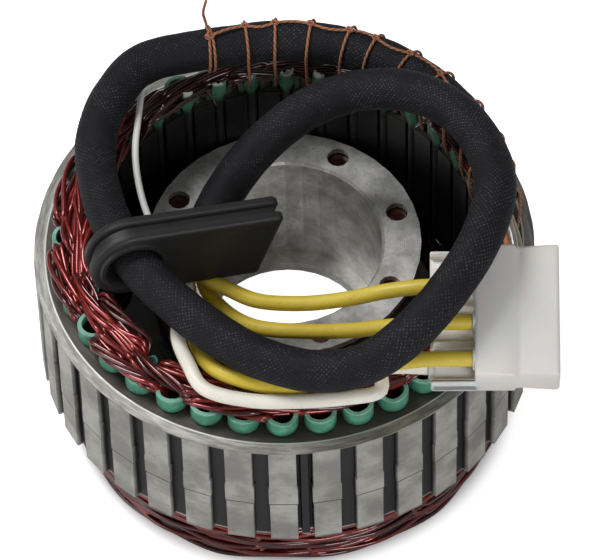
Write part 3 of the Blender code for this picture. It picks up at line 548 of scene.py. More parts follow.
class Shape:
    """Points, faces and the lay of each face corner, gathered for one mesh."""

    def __init__(self):
        self.points = []
        self.faces = []
        self.lay = []

    def add(self, corners, lay=None):
        self.faces.append(corners)
        self.lay.extend(lay or [(0.0, 0.0)] * len(corners))

    def cap(self, start, count, flip=False):
        corners = tuple(range(start, start + count))
        self.add(tuple(reversed(corners)) if flip else corners)

    def grid(self, rows, looped=False):
        """Join closed rows of points with quads, from the last row to the first too if looped."""
        start, width = len(self.points), len(rows[0])
        for row in rows:
            self.points.extend(row)
        for r in range(len(rows) if looped else len(rows) - 1):
            here = start + r * width
            there = start + (r + 1) % len(rows) * width
            for i in range(width):
                j = (i + 1) % width
                self.add((here + i, here + j, there + j, there + i))

    def solid(self, rows):
        """A skin over closed rows of points, with its first and last row capped."""
        start, width = len(self.points), len(rows[0])
        self.grid(rows)
        self.cap(start, width, True)
        self.cap(start + (len(rows) - 1) * width, width)

    def tube(self, path, radius, sides, number=0, ends=True, swell=None):
        """A round tube on a path. swell(distance, turn) scales the radius there."""
        start, total = len(self.points), len(path)
        distance, across = 0.0, None
        travelled = []
        for i, point in enumerate(path):
            ahead = heading(path, i)
            if across is None:
                across = ahead.orthogonal()
            across = (across - ahead * across.dot(ahead)).normalized()
            other = ahead.cross(across)
            if i:
                distance += (point - path[i - 1]).length
            travelled.append(distance)
            for turn in turns(sides):
                away = math.cos(turn) * across + math.sin(turn) * other
                self.points.append(point + radius * (swell(distance, turn) if swell else 1.0) * away)
        for i in range(total - 1):
            here, there = start + i * sides, start + (i + 1) * sides
            low, high = travelled[i], travelled[i + 1]
            for s in range(sides):
                t = (s + 1) % sides
                left, right = number + s / sides, number + (s + 0.999) / sides
                self.add(
                    (here + s, here + t, there + t, there + s),
                    [(low, left), (low, right), (high, right), (high, left)],
                )
        if ends:
            self.cap(start, sides, True)
            self.cap(start + (total - 1) * sides, sides)

    def block(self, place, low, high, round_by=0.0003):
        """A box between two corners with its edges rounded."""
        low, high = Vector(low), Vector(high)
        levels = (
            (low.z, round_by), (low.z + round_by, 0.0), (high.z - round_by, 0.0), (high.z, round_by)
        )
        rows = []
        for z, inset in levels:
            corners = (low.x + inset, low.y + inset, high.x - inset, high.y - inset)
            rows.append([place @ point for point in rounded_loop(*corners, z, round_by * 1.5, 3)])
        self.solid(rows)

    def piece(self, name, material, replaces=(), sharp=40.0):
        """Make the object, have it ride on the body, and hide the nodes that it stands for."""
        mesh = bpy.data.meshes.new(name)
        mesh.from_pydata([tuple(p) for p in self.points], [], self.faces)
        lay = mesh.uv_layers.new(name="lay")
        lay.data.foreach_set("uv", [number for pair in self.lay for number in pair])
        mesh.materials.append(material)
        mesh.shade_smooth()
        mesh.set_sharp_from_angle(angle=math.radians(sharp))
        obj = placed(name, mesh)
        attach(obj, "root")
        if replaces:
            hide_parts(*replaces)
        return obj


def rounded_loop(x0, y0, x1, y1, z, radius, steps):
    """A rectangle with round corners, as a loop of points."""
    loop = []
    for x, y, start in ((x1, y1, 0), (x0, y1, 90), (x0, y0, 180), (x1, y0, 270)):
        centre_x = x - radius if x == x1 else x + radius
        centre_y = y - radius if y == y1 else y + radius
        for s in range(steps + 1):
            turn = math.radians(start + 90 * s / steps)
            loop.append(Vector((
                centre_x + radius * math.cos(turn), centre_y + radius * math.sin(turn), z
            )))
    return loop


def repaint(node, material):
    """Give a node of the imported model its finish."""
    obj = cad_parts[node]
    for slot in obj.material_slots:
        slot.material = material


def polar(radius, angle, height=0.0):
    return Vector((radius * math.cos(angle), radius * math.sin(angle), height))


def round_way(angle):
    """The level direction in which the angle grows."""
    return Vector((-math.sin(angle), math.cos(angle), 0.0))


def turns(count, in_round=None):
    """Equal steps of turning, with in_round of them in a full turn."""
    return [2 * math.pi * step / (in_round or count) for step in range(count)]


def slot_angle(index):
    return FIRST_SLOT + index * SLOT_PITCH


def ease(value):
    """0 to 1 with a soft start and end."""
    value = max(0.0, min(1.0, value))
    return value * value * (3 - 2 * value)


def crease(distance, turn, often, wide=1.0, shift=0.0):
    """Soft noise over the wall of a tube, from -1 to 1."""
    place = (distance * often, shift + wide * math.cos(turn), wide * math.sin(turn))
    return noise.noise(Vector(place))


def mirrored(half):
    """Pairs of numbers, then the same pairs backwards with the second number turned over."""
    return [*half, *((first, -second) for first, second in reversed(half))]


def heading(line, i):
    """The direction of a line of points at one of them."""
    return (line[min(i + 1, len(line) - 1)] - line[max(i - 1, 0)]).normalized()


def nearest(line, target):
    """Index of the point of a line, its ends left out, that is nearest to a target."""
    return min(range(1, len(line) - 1), key=lambda i: (line[i] - target).length)


def even_points(route, step):
    """Evenly spaced points on a smooth curve through the route."""
    knots = [Vector(p) for p in route]
    fine = []
    for i in range(len(knots) - 1):
        before, here = knots[max(i - 1, 0)], knots[i]
        there, after = knots[i + 1], knots[min(i + 2, len(knots) - 1)]
        for part in range(16):
            t = part / 16
            fine.append(0.5 * (
                2 * here + (there - before) * t
                + (2 * before - 5 * here + 4 * there - after) * t * t
                + (3 * here - before - 3 * there + after) * t ** 3
            ))
    fine.append(knots[-1])
    travelled = [0.0]
    for a, b in zip(fine, fine[1:]):
        travelled.append(travelled[-1] + (b - a).length)
    count = max(2, round(travelled[-1] / step))
    even, place = [], 0
    for n in range(count + 1):
        wanted = travelled[-1] * n / count
        while place < len(fine) - 2 and travelled[place + 1] < wanted:
            place += 1
        span = travelled[place + 1] - travelled[place]
        even.append(fine[place].lerp(fine[place + 1], (wanted - travelled[place]) / span))
    return even


def length_along(points):
    return sum((b - a).length for a, b in zip(points, points[1:]))


def lashed_point(degrees):
    return polar(LASH_CIRCLE, math.radians(degrees), LASH_HEIGHT)


def sleeve_line(step):
    """The laced arc over the windings, then the free route."""
    return even_points([lashed_point(d) for d in LASH_DEGREES] + list(SLEEVE_ROUTE), step)


def wire_lines():
    """The route of each lead wire, from inside the sleeve's end to its entry in the plug."""
    coarse = sleeve_line(COARSE_STEP)
    out = (coarse[-1] - coarse[-2]).normalized()
    side = out.cross(Z).normalized()
    rise = side.cross(out)
    face = coarse[-1] + WIRE_GAP * out
    plans = (
        ("yellow_front", side - rise, YELLOW_FRONT_ROUTE, UPPER_PLACES[0], UPPER_LEVEL, 0.0),
        ("yellow_middle", -side - rise, YELLOW_MIDDLE_ROUTE, UPPER_PLACES[1], UPPER_LEVEL, 0.0),
        ("yellow_back", rise - side, YELLOW_BACK_ROUTE, UPPER_PLACES[2], UPPER_LEVEL, 0.0),
        ("white_wire", side + rise, WHITE_ROUTE, LOWER_PLACE, LOWER_LEVEL, PLUG_STEP),
    )
    lines = {}
    for name, shift, route, across, level, back in plans:
        start = face + WIRE_SPREAD * shift
        end = PLUG_PLACE @ Vector((ENTRY_DEPTH - back, across, -level))
        knots = [start, start + WIRE_LEAD_OUT * out, *route, end - Vector((WIRE_LEAD_IN, 0, 0)), end]
        lines[name] = even_points(knots, WIRE_STEP)
    return lines


class STATOR_OT_stage(bpy.types.Operator):
    """Camera, floor, world and soft lamps"""

    bl_idname = "stator.stage"
    bl_label = "Stage"
    hole_edge, shade_edge = (0.0215, 0.0225), (0.050, 0.056)
    # Name, place, size and power of each lamp
    lamps = (
        ("key_softbox", (-0.36, 0.16, 0.72), 0.28, 3.6),
        ("front_softbox", (0.28, -0.66, 0.40), 0.30, 2.2),
        ("side_softbox", (-0.62, -0.30, 0.26), 0.30, 0.9),
    )

    def execute(self, context):
        self.add_camera(context.scene)
        self.add_floor()
        self.add_world(context.scene)
        for lamp in self.lamps:
            self.add_lamp(*lamp)
        context.scene.view_settings.view_transform = "Standard"
        return {"FINISHED"}

    def add_camera(self, scene):
        up_angle, round_angle = math.radians(VIEW_ELEVATION), math.radians(VIEW_AZIMUTH)
        back = Vector((
            math.sin(round_angle) * math.cos(up_angle),
            -math.cos(round_angle) * math.cos(up_angle),
            math.sin(up_angle),
        ))
        level = (-back).cross(Z).normalized()
        upright = level.cross(-back)
        roll = math.radians(VIEW_ROLL)
        right = math.cos(roll) * level + math.sin(roll) * upright
        up = math.cos(roll) * upright - math.sin(roll) * level
        place = (back * VIEW_DISTANCE - right * VIEW_SHIFT_X - up * VIEW_SHIFT_Y) / 1000
        data = bpy.data.cameras.new("camera")
        data.sensor_fit = "HORIZONTAL"
        data.sensor_width = 36.0
        data.lens = data.sensor_width * FOCAL_PIXELS / PICTURE_WIDTH
        data.clip_end = 20.0
        turn = Matrix((right, up, back)).transposed().to_4x4()
        scene.camera = placed("camera", data, Matrix.Translation(place + CORE_TOP * Z) @ turn)

    def add_floor(self):
        """Plain paper that the camera sees as white round the core, and through the hub, where a
        stronger glow paints light over the stator's shade.
        """
        f = Finish("floor_paper")
        seen = f.node("ShaderNodeLightPath", output="Is Camera Ray")
        # painted light: the floor seen through the hub glows white though it lies in the stator's shade
        hub_hole_glow = 1.0 - f.between(f.reach(HUB_CENTRE), *self.hole_edge)
        outside = f.between(f.reach(), *self.shade_edge)
        glow = seen * (outside * 0.72 + hub_hole_glow * 0.95)
        material = f.skin(
            base_color=f.mix(f.cloud(30.0, 2.0), (0.86, 0.86, 0.86), (0.88, 0.88, 0.88)),
            roughness=0.9, specular_ior_level=0.1, emission_strength=1.0,
            emission_color=f.mix(glow, (0.0, 0.0, 0.0), (1.0, 1.0, 1.0)),
        )
        corners = ((-1, -1), (1, -1), (1, 1), (-1, 1))
        mesh = bpy.data.meshes.new("floor")
        mesh.from_pydata([(x * FLOOR_HALF, y * FLOOR_HALF, 0) for x, y in corners], [], [(0, 1, 2, 3)])
        mesh.materials.append(material)
        placed("floor", mesh)

    def add_world(self, scene):
        """Plain grey light, white where the camera looks past everything."""
        f = Finish("studio", "worlds")
        camera, glass = (
            f.node("ShaderNodeLightPath", output=ray) for ray in ("Is Camera Ray", "Is Transmission Ray")
        )
        plain, bright = (
            f.node("ShaderNodeBackground", None, {"Color": (1.0, 1.0, 1.0, 1.0), "Strength": strength})
            for strength in (0.24, 1.0)
        )
        mixed = f.node("ShaderNodeMixShader", None, {0: camera.most(glass), 1: plain, 2: bright})
        f.node("ShaderNodeOutputWorld", None, {"Surface": mixed})
        scene.world = f.holder

    def add_lamp(self, name, place, size, power):
        data = bpy.data.lights.new(name, "AREA")
        data.shape = "SQUARE"
        data.size = size
        data.energy = power
        aim = (LAMP_TARGET - Vector(place)).to_track_quat("-Z", "Y")
        placed(name, data, Matrix.Translation(place) @ aim.to_matrix().to_4x4())


class STATOR_OT_sleeve(bpy.types.Operator):
    """Woven sleeve that carries the lead wires"""

    bl_idname = "stator.sleeve"
    bl_label = "Sleeve"

    def execute(self, context):
        line = sleeve_line(FINE_STEP)
        radius, sides = sizes().sleeve / 2, 32
        end = length_along(line)

        def wrinkle(distance, turn):
            fold = crease(distance, turn, 330, 1.2)
            slack = crease(distance, turn, 90, 1.0, 4.0)
            flare = 0.02 * ease((distance - end + 0.003) / 0.003)
            return 0.965 + 0.022 * fold + 0.030 * slack + flare

        shape = Shape()
        shape.tube(line, radius, sides, ends=False, swell=wrinkle)
        for tip, inward in ((line[0], line[1] - line[0]), (line[-1], line[-2] - line[-1])):
            inward = inward.normalized()
            plug = [tip, tip + 0.003 * inward, tip + 0.007 * inward]
            hem = [tip - 0.0001 * inward, tip + 0.0004 * inward]
            shape.tube(plug, radius * 0.82, sides)
            shape.tube(hem, radius * 0.95, sides, ends=False)
        sleeve = shape.piece("woven_sleeve", weave_finish(), ["sleeve"])
        return {"FINISHED"}


class STATOR_OT_lead_wires(bpy.types.Operator):
    """Three yellow lead wires and a white one, from the sleeve to the plug"""

    bl_idname = "stator.lead_wires"
    bl_label = "Lead wires"

    def execute(self, context):
        skins = {
            "yellow": jacket_finish("yellow_skin", colours().yellow, 0.40),
            "white": jacket_finish("white_skin", colours().white, 0.28),
        }
        for number, (name, line) in enumerate(wire_lines().items(), 1):
            colour = name.split("_")[0]
            diameter = sizes().white_wire if colour == "white" else sizes().wire
            shape = Shape()
            shape.tube(line, diameter / 2, 20, swell=self.wobble)
            wire = shape.piece(name + "_lead", skins[colour], [name])
        return {"FINISHED"}

    def wobble(self, distance, turn):
        return 0.985 + 0.02 * crease(distance, turn, 160)


class STATOR_OT_lead_tube(bpy.types.Operator):
    """Thin white tube that crosses the bore beside the sleeve"""

    bl_idname = "stator.lead_tube"
    bl_label = "Thin tube"

    def execute(self, context):
        line = even_points(even_points(TUBE_ROUTE, 0.006), 0.0009)
        shape = Shape()
        shape.tube(line, sizes().tube / 2, 16, swell=self.pinch)
        material = jacket_finish("tube_skin", TUBE_COLOUR, 0.10, 0.45)
        tube = shape.piece("thin_tube", material, ["lead_tube"])
        return {"FINISHED"}

    def pinch(self, distance, turn):
        """Flattened where it comes out under the windings."""
        return 1.0 - 0.18 * abs(math.cos(turn)) * ease(1 - distance / 0.016)


class STATOR_OT_joint_leads(bpy.types.Operator):
    """Three short leads at the laced end of the sleeve"""

    bl_idname = "stator.joint_leads"
    bl_label = "Joint leads"

    def execute(self, context):
        coarse = sleeve_line(COARSE_STEP)
        out = (coarse[0] - coarse[1]).normalized()
        side = out.cross(Z).normalized()
        cream = jacket_finish("cream_skin", colours().cream, 0.5)
        orange = jacket_finish("orange_skin", colours().orange, 0.6)
        plans = (
            ("lead_cream", -side, "cream_skin", cream, 0.0),
            ("lead_orange", side, "orange_skin", orange, 0.0),
            ("lead_tinned", 1.7 * Z, "tinned", tin_finish("tinned"), 0.06),
        )
        for number, (name, shift, slot, material, strands) in enumerate(plans):
            offset = JOINT_SPREAD * shift
            start = coarse[0] + WIRE_GAP * out + offset
            knots = [start, start + 0.002 * out] + [Vector(p) + offset for p in JOINT_ROUTE]
            line = even_points(even_points(knots, 0.005), 0.0006)

            def uneven(distance, turn):
                dent = noise.noise(Vector((distance * 300, number * 7.0, turn)))
                return 0.97 + 0.05 * dent + strands * math.sin(distance * 5200 + turn)

            shape = Shape()
            shape.tube(line, sizes().joint_lead / 2, 14, swell=uneven)
            shape.piece(name + "_joint", material, [name])
        return {"FINISHED"}


class STATOR_OT_plug(bpy.types.Operator):
    """Two-tier nylon plug housing with its shroud and wire entries"""

    bl_idname = "stator.plug"
    bl_label = "Plug housing"

    def execute(self, context):
        shape = Shape()
        self.add_shell(shape)
        self.add_lower_tier(shape)
        for place in UPPER_PLACES:
            self.add_entry(shape, 0.0, place, UPPER_LEVEL)
        self.add_entry(shape, -PLUG_STEP, LOWER_PLACE, LOWER_LEVEL)
        shape.piece("nylon_housing", nylon_finish(), ["plug_housing"], 50.0)
        return {"FINISHED"}

    def add_shell(self, shape):
        """The upper tier and its mouth: loops along it, each this far inside the faces."""
        step, front = PLUG_SHOULDER, PLUG_LENGTH
        loops = (
            (0.0, 0.0005), (0.0004, 0.0001), (0.0010, 0.0), (step - 0.0002, 0.0),
            (step + 0.0003, 0.00045), (step + 0.0016, 0.00050), (front - 0.0010, 0.00015),
            (front - 0.0003, 0.0002), (front, 0.0006), (front, PLUG_WALL - 0.0004),
            (front - 0.0005, PLUG_WALL), (front - PLUG_MOUTH, PLUG_WALL + 0.0002),
        )
        rows = []
        for along, inset in loops:
            corners = (inset, inset - PLUG_DEPTH, PLUG_WIDTH - inset, -inset)
            flat = rounded_loop(*corners, along, 0.0008, 4)
            rows.append([PLUG_PLACE @ Vector((p.z, p.x, p.y)) for p in flat])
        shape.solid(rows)

    def add_lower_tier(self, shape):
        """The open tray under the wires: its floor, its two sides and the walls between wires."""
        low, top, inside = -PLUG_DEPTH, -PLUG_UPPER, 0.001
        floor = (-PLUG_STEP, 0.0, low), (inside, PLUG_WIDTH, top - 0.0016)
        shape.block(PLUG_PLACE, *floor, 0.0005)
        walls = [(-PLUG_STEP, 0.0, 0.0012, low + 0.001)]
        for place in TRAY_WALLS:
            walls.append((0.0006 - PLUG_STEP, place - 0.0009, place + 0.0009, top - 0.002))
        walls.append((-PLUG_STEP, PLUG_WIDTH - 0.0014, PLUG_WIDTH, low + 0.001))
        for back, left, right, bottom in walls:
            shape.block(PLUG_PLACE, (back, left, bottom), (inside, right, top))

    def add_entry(self, shape, along, across, level):
        """A collar round one wire where it enters the housing."""
        middle = Vector((along, across, -level))
        profile = (
            (0.00205, 0.0006), (0.00205, -0.0003), (0.0023, -0.0005), (0.0026, -0.0003), (0.0026, 0.0006)
        )
        rows = []
        for turn in turns(24):
            away = Vector((0, math.cos(turn), math.sin(turn)))
            rows.append([PLUG_PLACE @ (middle + away * r + Vector((x, 0, 0))) for r, x in profile])
        shape.grid(rows, looped=True)


class STATOR_OT_contact_tabs(bpy.types.Operator):
    """Finish of the flat contacts in the plug's mouth"""

    bl_idname = "stator.contact_tabs"
    bl_label = "Contact tabs"

    def execute(self, context):
        tin = tin_finish("tab_tin")
        for number in range(1, 5):
            repaint(f"contact_tab_{number}", tin)
        return {"FINISHED"}


class STATOR_OT_core(bpy.types.Operator):
    """Finish of the stacked core"""

    bl_idname = "stator.core"
    bl_label = "Core"

    def execute(self, context):
        repaint("core", core_finish())
        return {"FINISHED"}


class STATOR_OT_slot_liners(bpy.types.Operator):
    """Folded film liners with turned-back cuffs, one in each slot"""

    bl_idname = "stator.slot_liners"
    bl_label = "Slot liners"

    def execute(self, context):
        film = liner_finish()
        chance = random.Random(7)
        for index in range(SLOTS):
            shape = Shape()
            self.add_liner(shape, index, chance)
            number = f"{index + 1:02d}"
            shape.piece("film_liner_" + number, film, ["slot_liner_" + number], 38.0)
        return {"FINISHED"}

    def add_liner(self, shape, index, chance):
        """Sweep the cuffed section of the sheet along the slot's outline."""
        sheet, stand = sizes().liner_sheet, LINER_STAND
        cuff = -0.00022 * chance.uniform(0.9, 1.25)
        lean = chance.uniform(-0.00025, 0.00025)
        ripple = chance.uniform(0, 6.28)
        inward = polar(1.0, slot_angle(index))
        across = Vector((-inward.y, inward.x, 0.0))
        side = (
            (0.00035, -0.001), (0.00035, 0.0002), (cuff, 0.0004), (cuff, 0.0022),
            (cuff, stand - 0.00015), (cuff + 0.00012, stand), (sheet - 0.0002, stand),
            (sheet - 0.0001, stand - 0.00015), (sheet, 0.0010), (sheet, -0.001),
        )
        profile = [(inset, CORE_TOP + rise) for inset, rise in side]
        profile += [(inset, CORE_BOTTOM - rise) for inset, rise in reversed(side)]
        rows = []
        for place, (radius, offset) in enumerate(self.outline()):
            away = Vector((0, math.copysign(1, offset)))
            if radius > SLOT_ROUND_CENTRE:
                away = Vector((radius - SLOT_ROUND_CENTRE, offset)).normalized()
            wave = 0.00022 * math.sin(ripple + place * 0.55) + lean
            row = []
            for inset, height in profile:
                lift = wave * ease((height - CORE_TOP) / stand) if height > CORE_TOP else 0.0
                level = inward * (radius - away.x * inset) + across * (offset - away.y * inset)
                row.append(level + Z * (height + min(lift, 0.0)))
            rows.append(row)
        shape.solid(rows)

    def outline(self):
        """The slot's outline from shoulder to shoulder, as radius and sideways offset."""
        shoulder = (
            (SLOT_SHOULDER_RADIUS - 0.0006, -SLOT_SHOULDER_HALF),
            (SLOT_SHOULDER_RADIUS + 0.0012, -SLOT_SHOULDER_HALF - 0.0003),
        )
        steps = 16
        bend = []
        for step in range(steps + 1):
            turn = math.pi * (1 - step / steps)
            reach = SLOT_ROUND_CENTRE + SLOT_ROUND_RADIUS * math.sin(turn)
            bend.append((reach, SLOT_ROUND_RADIUS * math.cos(turn)))
        sides = mirrored(shoulder)
        return [*sides[:2], *bend, *sides[2:]]


class STATOR_OT_slot_wedges(bpy.types.Operator):
    """Film strips that close the slot mouths, with torn tips"""

    bl_idname = "stator.slot_wedges"
    bl_label = "Slot wedges"
    front, back = 0.04562, 0.04600

    def execute(self, context):
        chance = random.Random(11)
        shape = Shape()
        for index in range(SLOTS):
            self.add_strip(shape, slot_angle(index), chance)
        shape.piece("slot_wedges", wedge_finish())
        return {"FINISHED"}

    def add_strip(self, shape, angle, chance):
        """A strip that bows out over the core and stands taller at the back of the stator."""
        high = CORE_TOP + chance.uniform(0.0040, 0.0052) + 0.0034 * (0.5 + 0.5 * math.sin(angle))
        low = CORE_BOTTOM - chance.uniform(0.0010, 0.0024)
        turn = Matrix.Rotation(angle + chance.uniform(-0.004, 0.004), 4, "Z")
        slant = chance.uniform(-0.0011, 0.0011)
        notch = chance.uniform(0.0, 0.0012)
        levels = (
            (low, 0.0, 0.0011), (CORE_TOP, 0.0, 0.0012), (CORE_TOP + 0.0028, 0.0004, 0.0019),
            (high, 0.0007, chance.uniform(0.0010, 0.0018)),
        )
        rows = []
        for height, lean, half in levels:
            row = []
            for step in range(9):
                share = step / 4 - 1
                bow = 0.0007 * share * share
                torn = height
                if height == high:
                    torn += slant * share - notch * (step % 3) - 0.0006 * share * share
                row.append((bow - lean, half * share, torn))
            corners = [(self.front + out, aside, level) for out, aside, level in row]
            corners += [(self.back + out, aside, level) for out, aside, level in reversed(row)]
            rows.append([turn @ Vector(corner) for corner in corners])
        shape.solid(rows)


class STATOR_OT_windings(bpy.types.Operator):
    """Strands of the three phases, bundled from slot to slot over both ends of the core"""

    bl_idname = "stator.windings"
    bl_label = "Windings"
    span = PHASES * SLOT_PITCH
    start_depth = 0.003
    upper_rings = (0.0490, 0.0482, 0.0474)
    lower_rings = (0.0508, 0.0485, 0.0462)
    ring_steps = 220
    crest, crest_step, highest = 0.00510, 0.0003, CORE_TOP + 0.00698
    bundle_width, bundle_height = 0.00095, 0.00105
    bulge_angle, bulge_reach, bulge_width = math.radians(192), 0.0030, 0.0008
    lowest, rows_bottom, rows_height = 0.00062, 0.0008, 0.0122
    upper_leg, upper_leg_length, upper_leg_side = SLOT_ROUND_CENTRE - 0.0021, 0.0026, 0.0014
    lower_leg, lower_leg_length, column_gap = SLOT_ROUND_CENTRE - 0.0010, 0.0034, 0.0011

    def execute(self, context):
        # the enamel carries painted shade towards the back of the stator
        material = enamel_finish("enamel", colours().enamel, colours().enamel_dark)
        for phase in range(PHASES):
            shape = Shape()
            for number, (line, sides) in enumerate(self.phase_lines(phase)):
                shape.tube(line, sizes().strand / 2, sides, number, ends=False)
            shape.piece(
                f"phase_{phase + 1}_strands", material, [f"winding_{phase + 1}"], 80.0
            )
        return {"FINISHED"}

    def phase_lines(self, phase):
        """Each strand of a phase, with the number of its tube's sides."""
        chance = random.Random(20 + phase)
        lines = []
        for slot in range(phase, SLOTS, PHASES):
            twist = chance.choice((-1, 1)) * chance.uniform(0.5, 0.9)
            swing = chance.uniform(0, 6.28)
            for strand in range(sizes().top_strands):
                lines.append((self.upper_strand(slot, phase, strand, twist, swing, chance), 6))
            for strand in range(sizes().bottom_strands):
                lines.append((self.lower_strand(slot, phase, strand, chance), 5))
        lines += [(self.top_ring_strand(phase, strand, chance), 6) for strand in range(3)]
        lines += [(self.low_ring_strand(phase, strand, chance), 6) for strand in range(9)]
        return lines

    def upper_strand(self, slot, phase, strand, twist, swing, chance):
        """One strand that rises from a slot, crosses three pitches and goes down again.

        The first strand of a bundle runs straight and the others wind round it. The bundles
        stand out farther and wider at the left.
        """
        others = max(1, sizes().top_strands - 1)
        spread = 0.0 if strand == 0 else 1.0
        turn = swing + 2 * math.pi * strand / others
        ring = self.upper_rings[phase] + chance.uniform(-0.0007, 0.0007)
        crest = self.crest + self.crest_step * phase + chance.uniform(-0.0005, 0.0005)
        left = max(0.0, math.cos(slot_angle(slot) + self.span / 2 - self.bulge_angle))
        ring += self.bulge_reach * left * (1.1 - phase)
        early, late = chance.uniform(0.17, 0.30), chance.uniform(0.17, 0.30)
        home = self.upper_leg + (strand / others - 0.5) * self.upper_leg_length
        steps = 24
        line = []
        for step in range(steps + 1):
            t = step / steps
            up = ease(t / early) * ease((1 - t) / late)
            angle = slot_angle(slot) + self.span * (ease((t - 0.02) / 0.96) * 0.35 + t * 0.65)
            roll = turn + twist * 2 * math.pi * t
            lobe = 1.0 + 0.25 * math.sin(7 * t + strand)
            wide = spread * (self.bundle_width + self.bulge_width * left) * math.cos(roll) * lobe
            tall = spread * self.bundle_height * math.sin(roll)
            radial = home + (ring + wide - home) * up
            height = CORE_TOP - self.start_depth + (crest + tall + self.start_depth) * up
            height = min(height, self.highest)
            tangent = (1 - up) * spread * self.upper_leg_side * math.cos(turn * 2)
            line.append(polar(radial, angle, height) + tangent * round_way(angle))
        return line

    def lower_strand(self, slot, phase, strand, chance):
        """One strand of the deeper lower end winding, in two columns of stacked rows."""
        column, row = strand % 2, strand // 2
        rows = sizes().bottom_strands / 2
        aside = (column - 0.5) * self.column_gap
        deep = self.rows_bottom + self.rows_height * (row + 0.25 + 0.5 * column) / rows
        wander = chance.uniform(0, 6.28)
        early, late = chance.uniform(0.20, 0.34), chance.uniform(0.20, 0.34)
        home = self.lower_leg + (row / rows - 0.5) * self.lower_leg_length
        inside = CORE_BOTTOM + self.start_depth
        steps = 22
        line = []
        for step in range(steps + 1):
            t = step / steps
            down = ease(t / early) * ease((1 - t) / late)
            angle = slot_angle(slot) + self.span * t
            ring = self.lower_rings[phase] + aside + 0.0004 * math.sin(wander + 5.0 * t)
            radial = home + (ring - home) * down
            level = max(self.lowest, deep + 0.0007 * math.sin(wander + 6.28 * t))
            height = inside + (level - inside) * down
            line.append(polar(radial, angle, height) + 2 * aside * (1 - down) * round_way(angle))
        return line

    def top_ring_strand(self, phase, strand, chance):
        """A strand that runs on round the whole upper ring, between the bundles."""
        start = chance.uniform(0, 6.28)
        line = []
        for angle in turns(self.ring_steps + 1, self.ring_steps):
            sway = 0.0008 * math.sin(9 * angle + start + strand * 2.1)
            height = CORE_TOP + 0.0040 + 0.0006 * strand + 0.0008 * math.cos(9 * angle + start)
            line.append(polar(self.upper_rings[phase] + sway, angle, height))
        return line

    def low_ring_strand(self, phase, strand, chance):
        """A strand that runs on round the whole lower ring, outside the spans."""
        start = chance.uniform(0, 6.28)
        line = []
        for angle in turns(self.ring_steps + 1, self.ring_steps):
            radial = self.lower_rings[phase] + 0.0007 + 0.0004 * math.sin(12 * angle + start)
            height = 0.0011 + 0.00128 * strand + 0.0007 * math.sin(6 * angle + start * 2)
            line.append(polar(radial, angle, max(0.00066, height)))
        return line


class STATOR_OT_twisted_pair(bpy.types.Operator):
    """Two strands twisted together beside the sleeve"""

    bl_idname = "stator.twisted_pair"
    bl_label = "Twisted pair"
    step, twist = 0.0005, 0.0042

    def execute(self, context):
        line = even_points(TWISTED_ROUTE, self.step)
        radius = sizes().strand / 2
        shape = Shape()
        for number in range(2):
            strand = []
            for i, point in enumerate(line):
                ahead = heading(line, i)
                side = ahead.cross(Z).normalized()
                turn = math.pi * number + 2 * math.pi * i * self.step / self.twist
                away = math.cos(turn) * side + math.sin(turn) * side.cross(ahead)
                strand.append(point + radius * away)
            shape.tube(strand, radius, 8, number)
        enamel = colours().enamel
        # the pair gets no painted shade towards the back
        material = enamel_finish("pair_enamel", shaded(enamel, 1.8), enamel, 0.0)
        shape.piece("twisted_pair", material, sharp=80.0)
        return {"FINISHED"}


class STATOR_OT_hub(bpy.types.Operator):
    """Finish of the flanged hub"""

    bl_idname = "stator.hub"
    bl_label = "Hub"

    def execute(self, context):
        repaint("hub", hub_finish())
        return {"FINISHED"}


class STATOR_OT_hub_coil(bpy.types.Operator):
    """Close turns of wire wound on the hub"""

    bl_idname = "stator.hub_coil"
    bl_label = "Hub coil"

    def execute(self, context):
        wire = sizes().coil_wire
        rounds = int((COIL_TOP - COIL_BOTTOM) / wire)
        each = 72
        radius = COIL_OUTER - wire / 2
        line = []
        for step, angle in enumerate(turns((rounds - 1) * each + 1, each)):
            height = COIL_BOTTOM + wire / 2 + wire * step / each
            line.append(HUB_CENTRE + polar(radius, angle, height))
        shape = Shape()
        shape.tube(line, wire / 2, 6)
        section = (
            (COIL_INNER, COIL_BOTTOM), (radius, COIL_BOTTOM), (radius, COIL_TOP), (COIL_INNER, COIL_TOP)
        )
        wall = [[HUB_CENTRE + polar(r, angle, z) for r, z in section] for angle in turns(each)]
        shape.grid(wall, looped=True)
        # the coil's enamel carries painted shade towards the back of the stator
        material = enamel_finish("coil_enamel", (0.15, 0.03, 0.018), (0.07, 0.012, 0.010))
        shape.piece("hub_winding", material, ["hub_coil"], 60.0)
        return {"FINISHED"}


